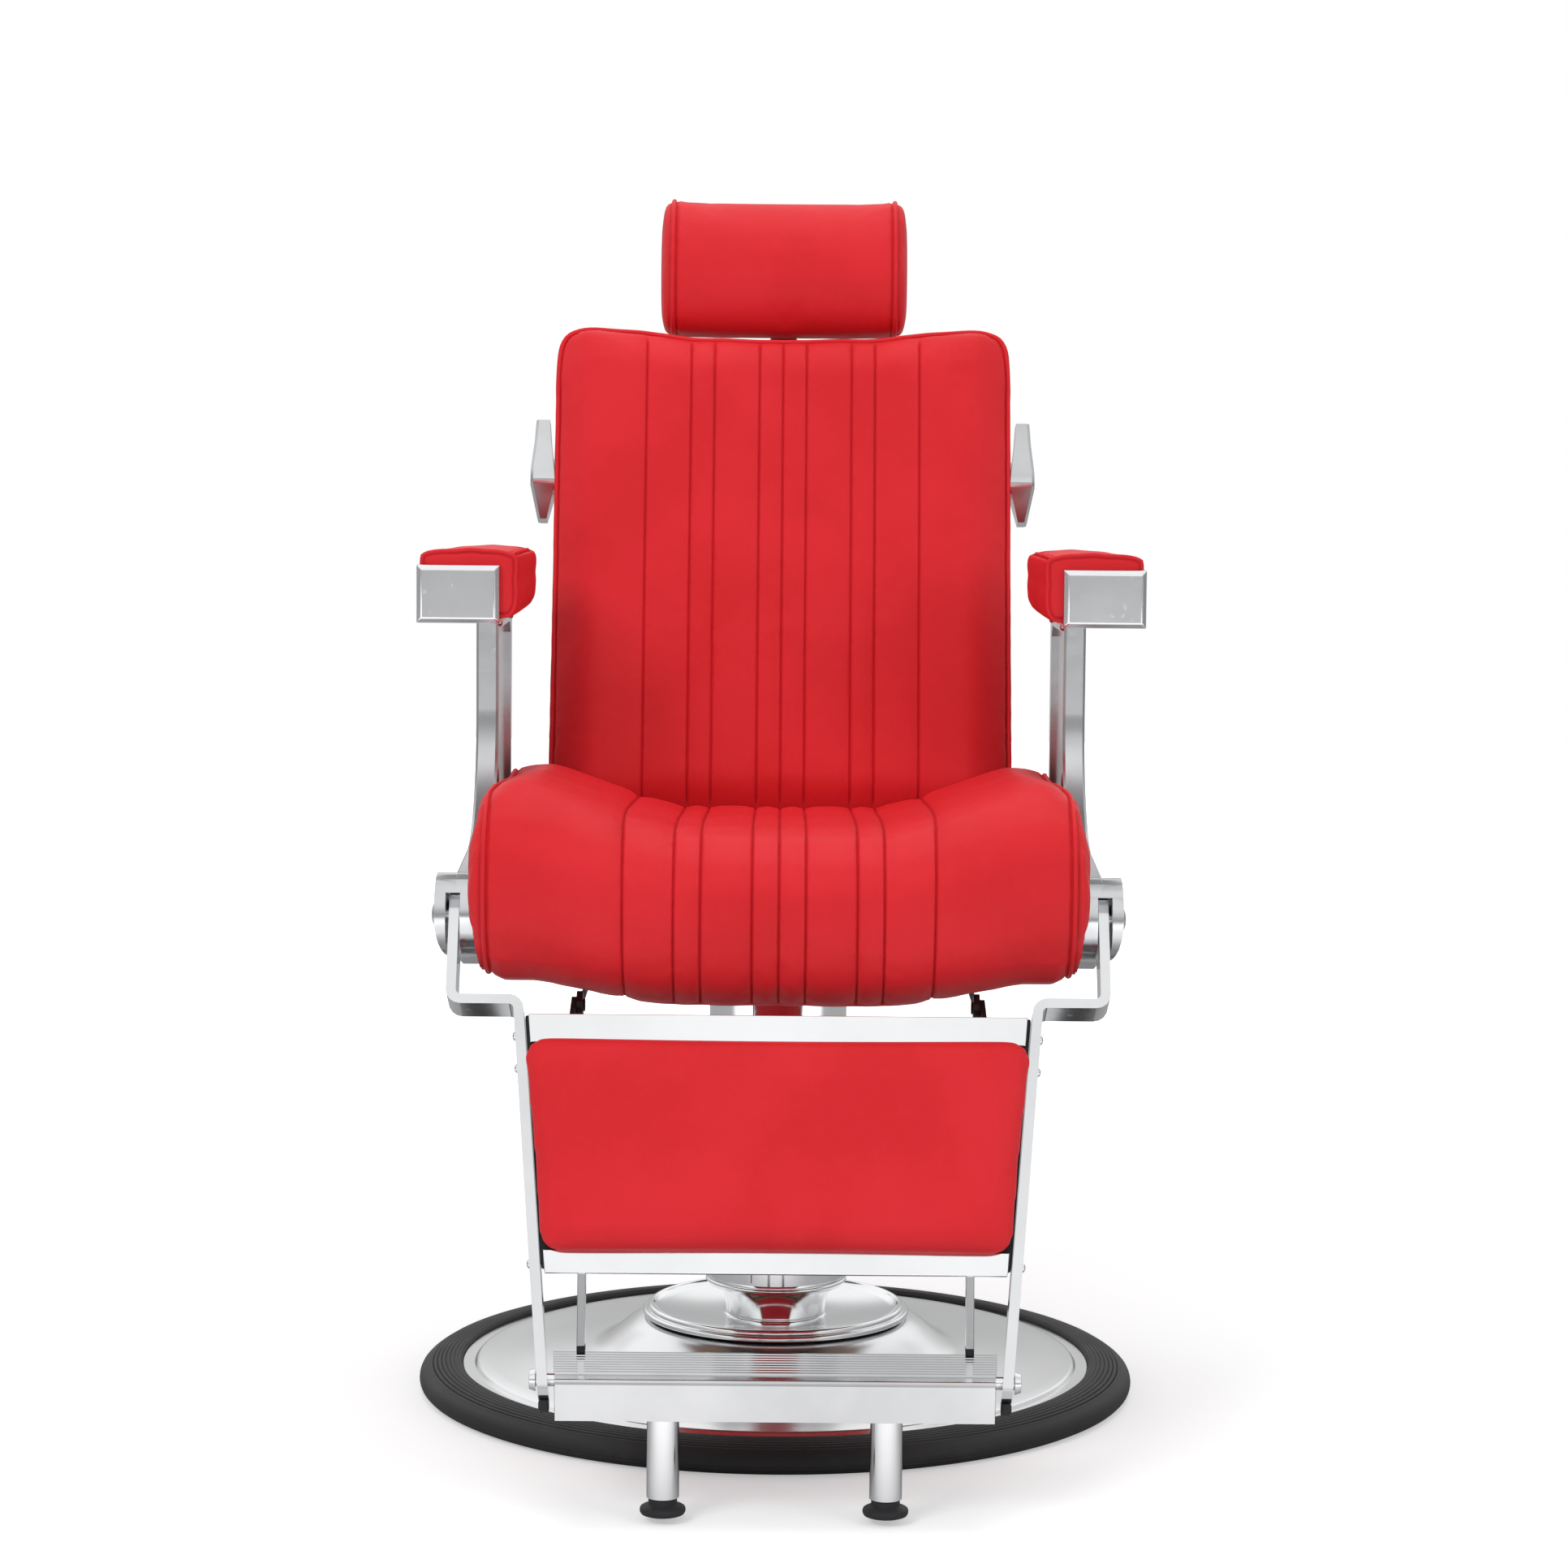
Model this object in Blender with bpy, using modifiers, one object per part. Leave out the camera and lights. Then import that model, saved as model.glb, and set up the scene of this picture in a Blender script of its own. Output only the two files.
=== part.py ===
"""Hydraulic barber chair: one object for each sub-part, in metres, +Z up, facing -Y.

The origin is the middle of the base's underside, on the floor. Left is the -X side.
"""
import math

import bmesh
import bpy
from mathutils import Vector

# ---- Clearances -------------------------------------------------------------------
GAP = 0.0003                 # between faces that touch
RUNNING_GAP = 0.0005         # round a shaft that turns or slides in its bore
SIDE_GAP = 0.0010            # beside a lever or link that swings

# ---- Base and hydraulic column ----------------------------------------------------
RING_RADIUS = 0.3605
RING_WIDTH = 0.043
RING_HEIGHT = 0.0290
PLATE_THICKNESS = 0.0215
COVER_WALL = 0.002
COVER_RIM_WIDTH = 0.0135     # flat rim just inside the rubber ring
COVER_STEP = 0.004           # bevelled step up from the rim
COVER_CREASE_RADIUS = 0.190  # where the flat annulus turns into the dome
COVER_CREASE_HEIGHT = 0.038
DOME_TOP_RADIUS = 0.130
DOME_TOP_HEIGHT = 0.070
CYLINDER_RADIUS = 0.045
CYLINDER_FLANGE_RADIUS = 0.070
CYLINDER_FLANGE_HEIGHT = 0.012
PISTON_RADIUS = 0.030
PISTON_ENGAGEMENT = 0.240    # length of piston inside the cylinder when it is down
COLLAR_RADIUS = 0.135
COLLAR_RIM_HEIGHT = 0.0125
COLLAR_DISH_DEPTH = 0.004
NECK_FOOT_RADIUS = 0.050
NECK_TOP_RADIUS = 0.0545
NECK_HEIGHT = 0.060
SHROUD_RADIUS = 0.0690
SHROUD_WALL = 0.003
SHROUD_LIP = 0.0024
SHROUD_CLEAR = 0.034         # shroud's lower end above the dome's top when down

# ---- Seat -------------------------------------------------------------------------
MOUNT_HEIGHT = 0.4403        # underside of the mount plate
MOUNT_SIDE = 0.200
MOUNT_THICKNESS = 0.010
HUB_RADIUS = 0.050
HUB_LENGTH = 0.055
CYLINDER_CLEAR = 0.040       # the pump cylinder's top below the hub
FRAME_PLATE_THICKNESS = 0.004
FRAME_PLATE_WIDTH = 0.280
CROSS_TUBE_SIZE = 0.025
CROSS_TUBE_FRONT_Y = -0.130
CROSS_TUBE_REAR_Y = 0.120
PAN_THICKNESS = 0.012
PAN_WIDTH = 0.500
PAN_FRONT_Y = -0.180
PAN_REAR_Y = 0.140
SEAT_HALF_WIDTH = 0.2805
SEAT_FRONT_BULGE = 0.007     # the front roll swells out past the arm frames
SEAT_REAR_Y = 0.152
SEAT_REAR_RISE = 0.067       # top of the pleated middle at the rear, above the pivots
SEAT_CREST_RISE = 0.084      # top of the front roll in the middle, above the pivots
SEAT_BOLSTER_RISE = 0.042
SEAT_ROLL_RADIUS = 0.083
SEAT_BOTTOM_RISE = 0.020     # the roll's underside is that much higher at the sides
PLEAT_OFFSETS = (0.0, 0.025, 0.073, 0.098, 0.145)
PLEAT_HALF_WIDTH = 0.004
PLEAT_DEPTH = 0.003

# ---- Arms -------------------------------------------------------------------------
ARM_INNER_X = 0.2835
ARM_THICKNESS = 0.022
ARM_POCKET_DEPTH = 0.005
ARM_RIM = 0.014
ARM_UPRIGHT_FRONT_Y = 0.005
ARM_UPRIGHT_REAR_Y = 0.205
ARM_DROP = 0.056             # the arm frame's lower edge below the pivots
BOSS_RADIUS = 0.040
BOSS_OUTER_X = 0.3225
BOSS_UNDERCUT = 0.016        # how far the boss's outer face curves in below the pin
TRAY_FRONT_Y = -0.152
TRAY_REAR_Y = 0.150
TRAY_RISE = 0.270            # the arm tray above the pivots
TRAY_HEIGHT = 0.056
TRAY_WIDTH = 0.080
TRAY_OUTER_X = 0.351
TRAY_WALL = 0.004
TRAY_END_WALL = 0.010
TRAY_BEVEL = 0.0045
ARM_PAD_RISE = 0.0145  # the pad's crown above the tray
ARM_PAD_OVERHANG = 0.021  # the pad's inner side past the tray

# ---- Recline hinge and links ------------------------------------------------------
HINGE_Y = 0.200
PIVOT_RISE = 0.0677          # recline hinge and legrest pivot above the mount plate
LEG_PIVOT_Y = -0.240
RECLINE_TILT = math.radians(15.0)
RECLINE_TRAVEL = math.radians(55.0)
HINGE_SHAFT_RADIUS = 0.008
HINGE_COLLAR_RADIUS = 0.013
HINGE_COLLAR_WIDTH = 0.0045
EAR_THICKNESS = 0.008
EAR_RADIUS = 0.020
BRACKET_INNER_X = 0.212
BRACKET_THICKNESS = 0.008
CRANK_LENGTH = 0.105
TIE_RADIUS = 0.008
LINK_X = 0.190
LINK_WIDTH = 0.006
LINK_ROD_RADIUS = 0.0028
LINK_EYE_RADIUS = 0.0135
LEVER_THICKNESS = 0.0045
LEVER_WIDTH = 0.016
LEVER_PIN_RADIUS = 0.006
LOCK_X = 0.110
LOCK_RADIUS = 0.017
LOCK_FRONT_Y = -0.070
LOCK_REAR_Y = 0.100
LOCK_ROD_RADIUS = 0.006
LOCK_ENGAGEMENT = 0.045
YOKE_WIDTH = 0.012

# ---- Back and headrest, measured up and out from the recline hinge ---------------
BACK_HALF_WIDTH = 0.2435
BACK_BOTTOM = 0.040
BACK_TOP = 0.575
BACK_TOP_DIP = 0.010
BACK_FRONT = 0.056
BACK_REAR = -0.025
BACK_CORNER = 0.028
BACK_EDGE_DRAW = 0.020       # the front face falls back that far at the edge seam
BACK_BOLSTER = 0.007
PANEL_THICKNESS = 0.015
PANEL_INSET = 0.006
PANEL_CORNER = 0.030
BRACKET_WIDTH = 0.034
BRACKET_TOP = 0.300
HANDLE_TOP = 0.482
HANDLE_RIDGE = 0.410
HANDLE_BOTTOM = 0.372
HANDLE_DEPTH = 0.050
HANDLE_WIDTH = 0.026
BAR_WIDTH = 0.030
BAR_THICKNESS = 0.006
BAR_BOTTOM = 0.270
BAR_TOP = 0.702
BAR_STANDOFF = 0.0084        # from the back panel to the bar
SOCKET_BOTTOM = 0.450
SOCKET_TOP = 0.535
SOCKET_WIDTH = 0.054
SOCKET_WALL = 0.007
HEADREST_HALF_WIDTH = 0.1325
HEADREST_BOTTOM = 0.581
HEADREST_TOP = 0.728
HEADREST_THICKNESS = 0.092
HEADREST_END_DRAW = 0.006

# ---- Legrest, measured down and out from its pivot --------------------------------
LEG_TILT = math.radians(28.2)
LEG_LENGTH = 0.447           # from the pivot to the footrest shaft
BAR_DEPTH = 0.038
BAR_GAUGE = 0.0095
LEG_BAR_PIVOT_X = 0.3052     # middle of the bar at its pivot
LEG_BAR_TOP_X = 0.2415  # middle of the bar under the joggle
LEG_BAR_FOOT_X = 0.209  # middle of the bar at the footrest
JOGGLE_DROP = 0.091
JOGGLE_RADIUS = 0.014
PIVOT_PIN_RADIUS = 0.007
PIVOT_CAP_RADIUS = 0.0115
PIVOT_CAP_HEIGHT = 0.005
BOARD_TOP = 0.1065
BOARD_FOOT = 0.102           # from the board's bottom edge to the footrest shaft
STRIP_OVERHANG = 0.009       # the bottom strip hides the board's edge
BOARD_THICKNESS = 0.018
STRIP_THICKNESS = 0.004
TOP_STRIP_WIDTH = 0.028
BOTTOM_STRIP_WIDTH = 0.0215
STRIP_END_GAP = 0.0035
LEG_PAD_CROWN = 0.024
LEG_PAD_EDGE = 0.010
LEG_PAD_CORNER = 0.018
STRUT_X = 0.176
STRUT_WIDTH = 0.0075
STRUT_DEPTH = 0.013
STRUT_TIP_HEIGHT = 0.006
BUMPER_HEIGHT = 0.010

# ---- Footrest, level at rest, measured from its shaft ----------------------------
TREAD_FRONT = 0.069
TREAD_REAR = 0.035
TREAD_TOP = 0.0175
TREAD_FRONT_SKIRT = 0.037
TREAD_REAR_SKIRT = 0.012
TREAD_WALL = 0.003
TREAD_FRONT_NARROWING = 0.0075
RIB_COUNT = 9
RIB_HEIGHT = 0.0018
FOOT_SHAFT_RADIUS = 0.006
FOOT_BOLT_RADIUS = 0.0105
FOOT_BOLT_HEIGHT = 0.006
LEG_TUBE_RADIUS = 0.0145
LEG_TUBE_X = 0.099
LEG_TUBE_SETBACK = 0.0205    # from the front plate's face to the tube's axis
FOOT_RADIUS = 0.0205
FOOT_HEIGHT = 0.0147
FOOT_CLEARANCE = 0.006       # the feet above the floor at the lowest seat height

# ---- Pump pedal and recline release lever -----------------------------------------
PEDAL_PIVOT_Y = 0.172
PEDAL_PIVOT_HEIGHT = 0.074
PEDAL_REACH = 0.235
PEDAL_RISE = 0.030
PEDAL_ARM_WIDTH = 0.020
PEDAL_ARM_THICKNESS = 0.012
PEDAL_PIN_RADIUS = 0.006
PEDAL_CHEEK = 0.007
PEDAL_PAD_WIDTH = 0.080
PEDAL_PAD_LENGTH = 0.060
PEDAL_PAD_THICKNESS = 0.012
RELEASE_PIVOT_Y = 0.120
RELEASE_DROP = 0.018         # the release lever's pin below the cross tube
RELEASE_LENGTH = 0.140
RELEASE_WIDTH = 0.014
RELEASE_THICKNESS = 0.006
RELEASE_PIN_RADIUS = 0.004
GRIP_RADIUS = 0.009
GRIP_LENGTH = 0.060



# ---- Colours: base colour, roughness, metallic ------------------------------------
FINISHES = {
    "upholstery": ((0.70, 0.03, 0.04), 0.42, 0.0),
    "chrome": ((0.78, 0.79, 0.80), 0.10, 1.0),
    "polished_steel": ((0.62, 0.63, 0.65), 0.20, 1.0),
    "black_rubber": ((0.02, 0.02, 0.022), 0.65, 0.0),
    "black_steel": ((0.03, 0.03, 0.032), 0.40, 0.0),
    "cast_iron": ((0.09, 0.09, 0.10), 0.60, 0.0),
    "plywood": ((0.45, 0.32, 0.19), 0.60, 0.0),
    "black_vinyl": ((0.02, 0.02, 0.02), 0.50, 0.0),
}
LEFT, RIGHT = -1, 1
SIDE_NAMES = {LEFT: "l", RIGHT: "r"}
ROUND = 20                   # steps of small turned parts
ROUND_LARGE = 48             # steps of the base and column


# ---- Heights that follow from the sizes above -------------------------------------
PIVOT_HEIGHT = MOUNT_HEIGHT + PIVOT_RISE
CYLINDER_TOP = MOUNT_HEIGHT - HUB_LENGTH - CYLINDER_CLEAR
TRAY_BOTTOM = PIVOT_HEIGHT + TRAY_RISE
ARM_BOTTOM = PIVOT_HEIGHT - ARM_DROP
BOARD_BOTTOM = LEG_LENGTH - BOARD_FOOT
STRIP_BOTTOM = BOARD_BOTTOM + STRIP_OVERHANG


# ---- Scene and helpers ------------------------------------------------------------
def clear_scene():
    for item in list(bpy.data.objects):
        bpy.data.objects.remove(item, do_unlink=True)


def new_collection(name):
    collection = bpy.data.collections.new(name)
    bpy.context.scene.collection.children.link(collection)
    return collection


def make_material(name):
    colour, roughness, metallic = FINISHES[name]
    material = bpy.data.materials.new(name)
    material.use_nodes = True
    shader = material.node_tree.nodes["Principled BSDF"]
    shader.inputs["Base Color"].default_value = (*colour, 1.0)
    shader.inputs["Roughness"].default_value = roughness
    shader.inputs["Metallic"].default_value = metallic
    return material


def joint_frame(name, place, tilt=0.0, parent=None):
    """An empty on a joint's axis; what moves with the joint is parented to it."""
    empty = bpy.data.objects.new(name, None)
    empty.empty_display_size = 0.05
    PARTS.objects.link(empty)
    empty.parent = parent
    empty.location = place
    empty.rotation_euler.x = tilt
    return empty


def add_part(name, data, finish, parent):
    part = bpy.data.objects.new(name, data)
    PARTS.objects.link(part)
    part.parent = parent
    data.materials.append(MATERIALS[finish])
    return part


def mesh_from(bm, name, smooth_angle=None):
    bmesh.ops.recalc_face_normals(bm, faces=bm.faces)
    mesh = bpy.data.meshes.new(name)
    bm.to_mesh(mesh)
    bm.free()
    if smooth_angle is not None:
        mesh.shade_smooth()
        mesh.set_sharp_from_angle(angle=smooth_angle)
    return mesh


def block(low, high, bevel=0.0, segments=1):
    """A box between two corners, with an even bevel on its edges."""
    bm = bmesh.new()
    bmesh.ops.create_cube(bm, size=1.0)
    low, high = Vector(low), Vector(high)
    for vert in bm.verts:
        vert.co = low + Vector((vert.co[i] + 0.5) * (high[i] - low[i]) for i in range(3))
    if bevel:
        bmesh.ops.bevel(bm, geom=bm.edges[:], offset=bevel, segments=segments, profile=0.5, affect="EDGES")
    return bm


def cylinder(radius, start, end, steps=ROUND, end_radius=None):
    """A cylinder or cone between two points."""
    start, end = Vector(start), Vector(end)
    along = end - start
    bm = bmesh.new()
    far = radius if end_radius is None else end_radius
    bmesh.ops.create_cone(bm, cap_ends=True, segments=steps, radius1=radius, radius2=far, depth=along.length)
    turn = along.to_track_quat("Z", "Y").to_matrix()
    bmesh.ops.rotate(bm, cent=(0, 0, 0), matrix=turn, verts=bm.verts)
    bmesh.ops.translate(bm, vec=(start + end) / 2, verts=bm.verts)
    return bm


def prism(outline, low, high, plane="YZ"):
    """A flat outline given a thickness: YZ outlines run along X, XZ outlines along Y."""
    bm = bmesh.new()
    if plane == "YZ":
        corners = [bm.verts.new((low, a, b)) for a, b in outline]
        along = Vector((high - low, 0, 0))
    else:
        corners = [bm.verts.new((a, low, b)) for a, b in outline]
        along = Vector((0, high - low, 0))
    face = bm.faces.new(corners)
    extruded = bmesh.ops.extrude_face_region(bm, geom=[face], use_keep_orig=True)
    moved = [item for item in extruded["geom"] if isinstance(item, bmesh.types.BMVert)]
    bmesh.ops.translate(bm, vec=along, verts=moved)
    bmesh.ops.recalc_face_normals(bm, faces=bm.faces)
    return bm


def arc(centre, radius, start, end, steps):
    """Points of an arc in a plane, angles in degrees."""
    angles = [math.radians(start + (end - start) * i / steps) for i in range(steps + 1)]
    return [(centre[0] + radius * math.cos(a), centre[1] + radius * math.sin(a)) for a in angles]


def loft(loops):
    """A closed skin through loops of equally many points, with flat ends."""
    bm = bmesh.new()
    rings = [[bm.verts.new(point) for point in loop] for loop in loops]
    count = len(rings[0])
    for near, far in zip(rings, rings[1:]):
        for i in range(count):
            bm.faces.new((near[i], near[(i + 1) % count], far[(i + 1) % count], far[i]))
    bm.faces.new(rings[0])
    bm.faces.new(rings[-1])
    return bm


def turned(name, profile, finish, parent, steps=ROUND_LARGE, closed=True, place=(0, 0, 0)):
    """A turned part: a profile of (radius, height) points, outer side from top to bottom."""
    mesh = bpy.data.meshes.new(name)
    bm = bmesh.new()
    points = [bm.verts.new((radius, 0, height)) for radius, height in profile]
    ends = points[1:] + ([points[0]] if closed else [])
    for near, far in zip(points, ends):
        bm.edges.new((near, far))
    bm.to_mesh(mesh)
    bm.free()
    part = add_part(name, mesh, finish, parent)
    part.location = place
    screw = part.modifiers.new("turn", "SCREW")
    screw.steps = screw.render_steps = steps
    screw.use_merge_vertices = True
    screw.merge_threshold = 0.00005
    return part


def cutter(name, bm, parent=None):
    mesh = mesh_from(bm, name)
    tool = bpy.data.objects.new(name, mesh)
    CUTTERS.objects.link(tool)
    tool.parent = parent
    tool.hide_render = True
    tool.display_type = "WIRE"
    return tool


def shape(part, name, bm, operation):
    """Cut a shape from a part, or join it on. The shape is in the part's own frame."""
    tool = cutter(f"{part.name}_{name}", bm, part.parent)
    tool.location = part.location
    boolean = part.modifiers.new(name, "BOOLEAN")
    boolean.operation = operation
    boolean.object = tool


def cut(part, name, bm):
    shape(part, name, bm, "DIFFERENCE")


def join(part, name, bm):
    shape(part, name, bm, "UNION")


def solid(name, bm, finish, parent, smooth_angle=None):
    return add_part(name, mesh_from(bm, name, smooth_angle), finish, parent)


def mirrored(outline, side):
    return [(side * x, z) for x, z in outline]


def sorted_pair(a, b):
    return (min(a, b), max(a, b))




# ---- Base and hydraulic column ----------------------------------------------------
def make_base_ring():
    inner = RING_RADIUS - RING_WIDTH
    ribs = []
    rib_count = 5
    rib_pitch = (RING_WIDTH - 0.016) / rib_count
    for i in range(rib_count):
        start = inner + 0.006 + i * rib_pitch
        fall = 0.0014 * i * i / rib_count
        ribs += [(start, RING_HEIGHT - 0.0012 - fall), (start + rib_pitch / 2, RING_HEIGHT - fall)]
    profile = [(inner, RING_HEIGHT - 0.002), *ribs, (RING_RADIUS - 0.006, RING_HEIGHT - 0.0095),
               (RING_RADIUS - 0.001, RING_HEIGHT / 2), (RING_RADIUS, RING_HEIGHT / 3),
               (RING_RADIUS - 0.005, 0.003), (RING_RADIUS - 0.014, 0.0), (inner, 0.0)]
    turned("base_ring", profile, "black_rubber", BASE)


def make_base_plate():
    radius = RING_RADIUS - RING_WIDTH - GAP
    edge = 0.002
    profile = [(0.0, PLATE_THICKNESS), (radius - edge, PLATE_THICKNESS),
               (radius, PLATE_THICKNESS - edge), (radius, 0.0), (0.0, 0.0)]
    turned("base_plate", profile, "cast_iron", BASE, closed=False)


def dome_profile():
    """The cover's dome from its flat top down to the crease."""
    rise = DOME_TOP_HEIGHT - COVER_CREASE_HEIGHT
    points = [(DOME_TOP_RADIUS, DOME_TOP_HEIGHT)]
    for i in range(1, 6):
        share = i / 6
        radius = DOME_TOP_RADIUS + (COVER_CREASE_RADIUS - DOME_TOP_RADIUS) * share
        points.append((radius, DOME_TOP_HEIGHT - rise * (share ** 2 * (3 - 2 * share))))
    return points + [(COVER_CREASE_RADIUS, COVER_CREASE_HEIGHT)]


def make_base_cover():
    rim = RING_RADIUS - RING_WIDTH - GAP
    rim_top = PLATE_THICKNESS + GAP + COVER_WALL
    step = rim - COVER_RIM_WIDTH
    step_top = rim_top + COVER_STEP
    neck = CYLINDER_RADIUS + RUNNING_GAP
    middle = (step + COVER_CREASE_RADIUS) / 2
    profile = [(neck, DOME_TOP_HEIGHT), *dome_profile(),
               (middle, (COVER_CREASE_HEIGHT + step_top) / 2 - 0.001), (step - 0.003, step_top),
               (step, rim_top), (rim, rim_top)]
    cover = turned("base_cover", profile, "chrome", BASE, closed=False)
    wall = cover.modifiers.new("wall", "SOLIDIFY")
    wall.thickness = COVER_WALL
    wall.offset = -1.0


def make_pump_cylinder():
    floor = PLATE_THICKNESS + GAP
    bore = PISTON_RADIUS + RUNNING_GAP
    bore_floor = CYLINDER_TOP - PISTON_ENGAGEMENT - 0.010
    flange_top = floor + CYLINDER_FLANGE_HEIGHT
    profile = [(0.0, bore_floor), (bore, bore_floor), (bore, CYLINDER_TOP),
               (CYLINDER_RADIUS - 0.002, CYLINDER_TOP), (CYLINDER_RADIUS, CYLINDER_TOP - 0.002),
               (CYLINDER_RADIUS, flange_top), (CYLINDER_FLANGE_RADIUS, flange_top),
               (CYLINDER_FLANGE_RADIUS, floor), (0.0, floor)]
    turned("pump_cylinder", profile, "polished_steel", BASE, closed=False)


def make_column_collar():
    """The disc over the dome and the flared neck that rises from it, in one turned piece."""
    foot = DOME_TOP_HEIGHT + GAP
    disc_top = foot + COLLAR_RIM_HEIGHT
    dish = disc_top - COLLAR_DISH_DEPTH
    top = foot + NECK_HEIGHT
    bore = CYLINDER_RADIUS + RUNNING_GAP
    rim = COLLAR_RADIUS
    neck = []
    for i in range(1, 5):
        share = i / 5
        neck.append((NECK_TOP_RADIUS + (NECK_FOOT_RADIUS - NECK_TOP_RADIUS) * share ** 0.6,
                     top - 0.001 + (dish + 0.003 - top + 0.001) * share))
    profile = [(bore, top), (NECK_TOP_RADIUS, top), *neck, (NECK_FOOT_RADIUS + 0.002, dish + 0.0012),
               (NECK_FOOT_RADIUS + 0.006, dish), (rim - 0.014, dish),
               (rim - 0.010, disc_top - 0.001), (rim - 0.006, disc_top), (rim - 0.001, disc_top - 0.003),
               (rim, disc_top - 0.006), (rim - 0.003, disc_top - 0.0075), (rim - 0.001, disc_top - 0.009),
               (rim - 0.004, foot + 0.001), (rim - 0.040, foot), (bore, foot)]
    turned("column_collar", profile, "chrome", BASE)


def make_piston_rod():
    bottom = CYLINDER_TOP - PISTON_ENGAGEMENT
    edge = 0.003
    top = MOUNT_HEIGHT - GAP
    profile = [(0.0, top), (PISTON_RADIUS - edge, top), (PISTON_RADIUS, top - edge),
               (PISTON_RADIUS, bottom), (0.0, bottom)]
    turned("piston_rod", profile, "polished_steel", LIFT, steps=32, closed=False)


def make_column_shroud():
    """The tube that hangs from the mount plate and slides down over the neck."""
    bottom = DOME_TOP_HEIGHT + SHROUD_CLEAR
    top = MOUNT_HEIGHT - GAP
    outer, inner, lip = SHROUD_RADIUS, SHROUD_RADIUS - SHROUD_WALL, SHROUD_RADIUS + SHROUD_LIP
    profile = [(inner, top), (outer, top), (outer, bottom + 0.008), (lip, bottom + 0.006),
               (lip, bottom + 0.002), (outer, bottom), (inner, bottom)]
    shroud = turned("column_shroud", profile, "chrome", SEAT)
    shroud.location.z = -MOUNT_HEIGHT


# ---- Seat structure ---------------------------------------------------------------
def make_mount_plate():
    half = MOUNT_SIDE / 2
    plate = solid("mount_plate", block((-half, -half, 0), (half, half, MOUNT_THICKNESS), 0.002),
                  "black_steel", SEAT)
    join(plate, "hub", cylinder(HUB_RADIUS, (0, 0, -HUB_LENGTH), (0, 0, MOUNT_THICKNESS / 2), 32))
    bore = PISTON_RADIUS + RUNNING_GAP
    cut(plate, "socket", cylinder(bore, (0, 0, -HUB_LENGTH - 0.01), (0, 0, 0), 32))
    return plate


def cross_tube_bottom():
    return MOUNT_THICKNESS + GAP + FRAME_PLATE_THICKNESS


def make_seat_frame():
    """Two cross tubes welded to a centre plate, with the hinge ears on the rear tube."""
    plate_bottom = MOUNT_THICKNESS + GAP
    low = cross_tube_bottom()
    high = low + CROSS_TUBE_SIZE
    half_tube = CROSS_TUBE_SIZE / 2
    half_plate = FRAME_PLATE_WIDTH / 2
    reach = ARM_INNER_X - GAP
    sink = 0.001
    frame = solid("seat_frame", block((-half_plate, CROSS_TUBE_FRONT_Y - half_tube, plate_bottom),
                                      (half_plate, CROSS_TUBE_REAR_Y + half_tube, low + sink)),
                  "black_steel", SEAT)
    for name, y in (("front_tube", CROSS_TUBE_FRONT_Y), ("rear_tube", CROSS_TUBE_REAR_Y)):
        tube = block((-reach, y - half_tube + sink, low), (reach, y + half_tube - sink, high), 0.003)
        join(frame, name, tube)
    hinge_z = PIVOT_HEIGHT - MOUNT_HEIGHT
    ear_inner = BRACKET_INNER_X + BRACKET_THICKNESS + RUNNING_GAP
    for side in (LEFT, RIGHT):
        near, far = sorted_pair(side * ear_inner, side * (ear_inner + EAR_THICKNESS))
        outline = [(CROSS_TUBE_REAR_Y - half_tube + 0.002, low + 0.002),
                   (CROSS_TUBE_REAR_Y + half_tube, low + 0.001),
                   *arc((HINGE_Y, hinge_z), EAR_RADIUS, -70, 150, 9),
                   (CROSS_TUBE_REAR_Y + half_tube + 0.012, high - 0.001),
                   (CROSS_TUBE_REAR_Y - half_tube + 0.002, high - 0.002)]
        join(frame, f"ear_{SIDE_NAMES[side]}", prism(outline, near, far))
        bore = cylinder(HINGE_SHAFT_RADIUS + RUNNING_GAP, (near - 0.01, HINGE_Y, hinge_z),
                        (far + 0.01, HINGE_Y, hinge_z))
        cut(frame, f"ear_bore_{SIDE_NAMES[side]}", bore)
    add_release_bracket(frame, low)


def add_release_bracket(frame, tube_bottom):
    """The lug under the rear tube that carries the recline release lever's pin."""
    x = release_x() + RELEASE_THICKNESS / 2 + SIDE_GAP
    lug_thickness = 0.005
    pin_z = tube_bottom - RELEASE_DROP
    outline = [*arc((RELEASE_PIVOT_Y, pin_z), 0.009, 180, 360, 8),
               (RELEASE_PIVOT_Y + 0.009, tube_bottom + 0.004), (RELEASE_PIVOT_Y - 0.009, tube_bottom + 0.004)]
    join(frame, "release_lug", prism(outline, x, x + lug_thickness))
    far = release_x() - RELEASE_THICKNESS / 2 - 0.003
    join(frame, "release_pin", cylinder(RELEASE_PIN_RADIUS, (far, RELEASE_PIVOT_Y, pin_z),
                                        (x + lug_thickness / 2, RELEASE_PIVOT_Y, pin_z), 12))


def release_x():
    """Middle of the release lever: between the back's bracket and the arm frame."""
    ear_outer = BRACKET_INNER_X + BRACKET_THICKNESS + RUNNING_GAP + EAR_THICKNESS
    return -(ear_outer + ARM_INNER_X) / 2


def pan_bottom():
    return MOUNT_HEIGHT + cross_tube_bottom() + CROSS_TUBE_SIZE + GAP


def make_seat_pan():
    half = PAN_WIDTH / 2
    low = pan_bottom() - MOUNT_HEIGHT
    board = block((-half, PAN_FRONT_Y, low), (half, PAN_REAR_Y, low + PAN_THICKNESS), 0.0025)
    solid("seat_pan", board, "plywood", SEAT)


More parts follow.
